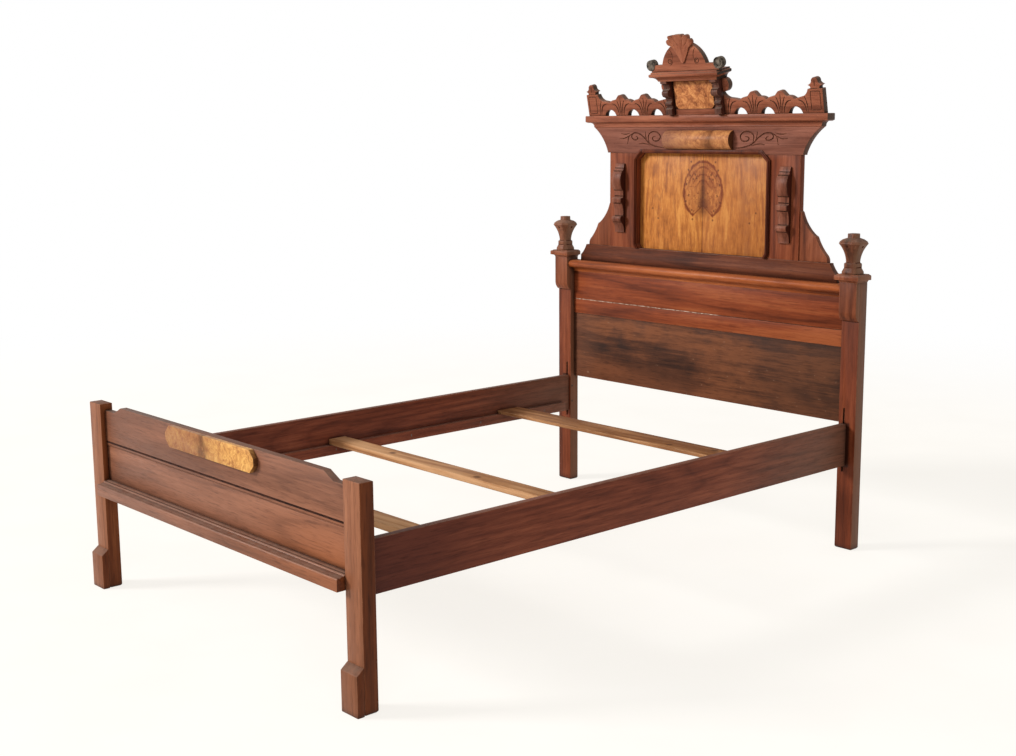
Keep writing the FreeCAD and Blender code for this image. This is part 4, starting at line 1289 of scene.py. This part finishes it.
# Old filler, crumbled, in the open joint between the upper and the middle board
def filler_line():
    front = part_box("head_upper_board")[0].y
    points = []
    for step in range(filler_steps):
        along = filler_from + (filler_to - filler_from) * step / (filler_steps - 1)
        points.append((along, front, filler_height + random.uniform(-filler_wander, filler_wander)))
    line = stroke(points, filler_width, end_share=0.1)
    line.name = "joint_filler"
    line.data.materials.append(old_filler)
    close_up(line)
    smooth(line)
    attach(line, body_of_node["head_upper_board"])


filler_line()

# Floor: pale, white far away, and still shaded under the bed
floor_size = 80.0
white_from = 2.2
white_to = 6.0
floor_wear_scale = 3.0
floor_paint = (0.9, 0.875, 0.84)
floor_paint_worn = (0.84, 0.81, 0.77)
floor_glow = (0.82, 0.795, 0.75)
floor_shade_share = 0.28


def seen_rays(tree):
    path = put(tree, "LightPath").outputs
    mirrored = reckon(tree, "MAXIMUM", path["Is Glossy Ray"], path["Is Transmission Ray"])
    return reckon(tree, "MAXIMUM", path["Is Camera Ray"], mirrored)


def floor_material():
    made = bpy.data.materials.new("studio floor")
    made.use_nodes = True
    tree = made.node_tree
    tree.nodes.clear()
    place = object_vector(tree)
    far = stepped(tree, vectors(tree, "LENGTH", place)["Value"], white_from, white_to)
    worn = stepped(tree, noise(tree, place, floor_wear_scale, 5.0), 0.35, 0.7)
    paint = blend(tree, worn, (*floor_paint, 1), (*floor_paint_worn, 1))
    lit = put(tree, "BsdfDiffuse", {"Color": blend(tree, floor_shade_share, (0, 0, 0, 1), paint)})
    glow = put(tree, "Emission", {"Color": (*floor_glow, 1)})
    near = put(tree, "AddShader", {0: lit.outputs[0], 1: glow.outputs[0]})
    white = put(tree, "Emission", {"Color": (1, 1, 1, 1)})
    shown = put(tree, "MixShader", {0: far, 1: near.outputs[0], 2: white.outputs[0]})
    plain = put(tree, "BsdfDiffuse", {"Color": paint})
    mixed = put(tree, "MixShader", {0: seen_rays(tree), 1: plain.outputs[0], 2: shown.outputs[0]})
    out = tree.nodes.new("ShaderNodeOutputMaterial")
    feed(tree, out.inputs["Surface"], mixed.outputs[0])
    return made


bpy.ops.object.select_all(action="DESELECT")
bpy.ops.mesh.primitive_plane_add(size=floor_size, location=(0, 0, 0))
floor = bpy.context.object
floor.name = "studio_floor"
floor.data.materials.append(floor_material())

# Studio light: an even white room, a large soft lamp on the left and a weak one on the right
room_level = 0.42
lamp_aim = Vector((0, 0, 0.7))
key_place = Vector((-11.0, -14.0, 8.5))
key_size = 4.5
key_power = 3400
fill_place = Vector((3.5, -3.0, 2.6))
fill_size = 2.5
fill_power = 42


def studio_world():
    world = bpy.data.worlds.new("studio")
    bpy.context.scene.world = world
    world.use_nodes = True
    tree = world.node_tree
    back = tree.nodes["Background"]
    back.inputs["Color"].default_value = (1, 1, 1, 1)
    feed(tree, back.inputs["Strength"], stepped(tree, seen_rays(tree), 0.0, 1.0, room_level, 1.0))


def soft_box(name, place, size, power):
    data = bpy.data.lights.new(name, "AREA")
    data.size = size
    data.energy = power
    lamp = bpy.data.objects.new(name, data)
    bpy.context.scene.collection.objects.link(lamp)
    lamp.location = place
    lamp.rotation_mode = "QUATERNION"
    lamp.rotation_quaternion = (lamp_aim - place).to_track_quat("-Z", "Y")


studio_world()
soft_box("key", key_place, key_size, key_power)
soft_box("fill", fill_place, fill_size, fill_power)


# Camera
def add_camera():
    back = Vector((math.sin(camera_azimuth) * math.cos(camera_elevation),
                   -math.cos(camera_azimuth) * math.cos(camera_elevation), math.sin(camera_elevation)))
    right = Vector((math.cos(camera_azimuth), math.sin(camera_azimuth), 0))
    up = back.cross(right)
    rolled_right = math.cos(camera_roll) * right + math.sin(camera_roll) * up
    rolled_up = math.cos(camera_roll) * up - math.sin(camera_roll) * right
    data = bpy.data.cameras.new("camera")
    data.sensor_width = sensor_width
    data.lens = focal_pixels * sensor_width / photo_width
    camera = bpy.data.objects.new("camera", data)
    bpy.context.scene.collection.objects.link(camera)
    turn = Matrix((rolled_right, rolled_up, back)).transposed().to_4x4()
    camera.matrix_world = Matrix.Translation(camera_place) @ turn
    bpy.context.scene.camera = camera


add_camera()
bpy.context.scene.view_settings.view_transform = "Standard"
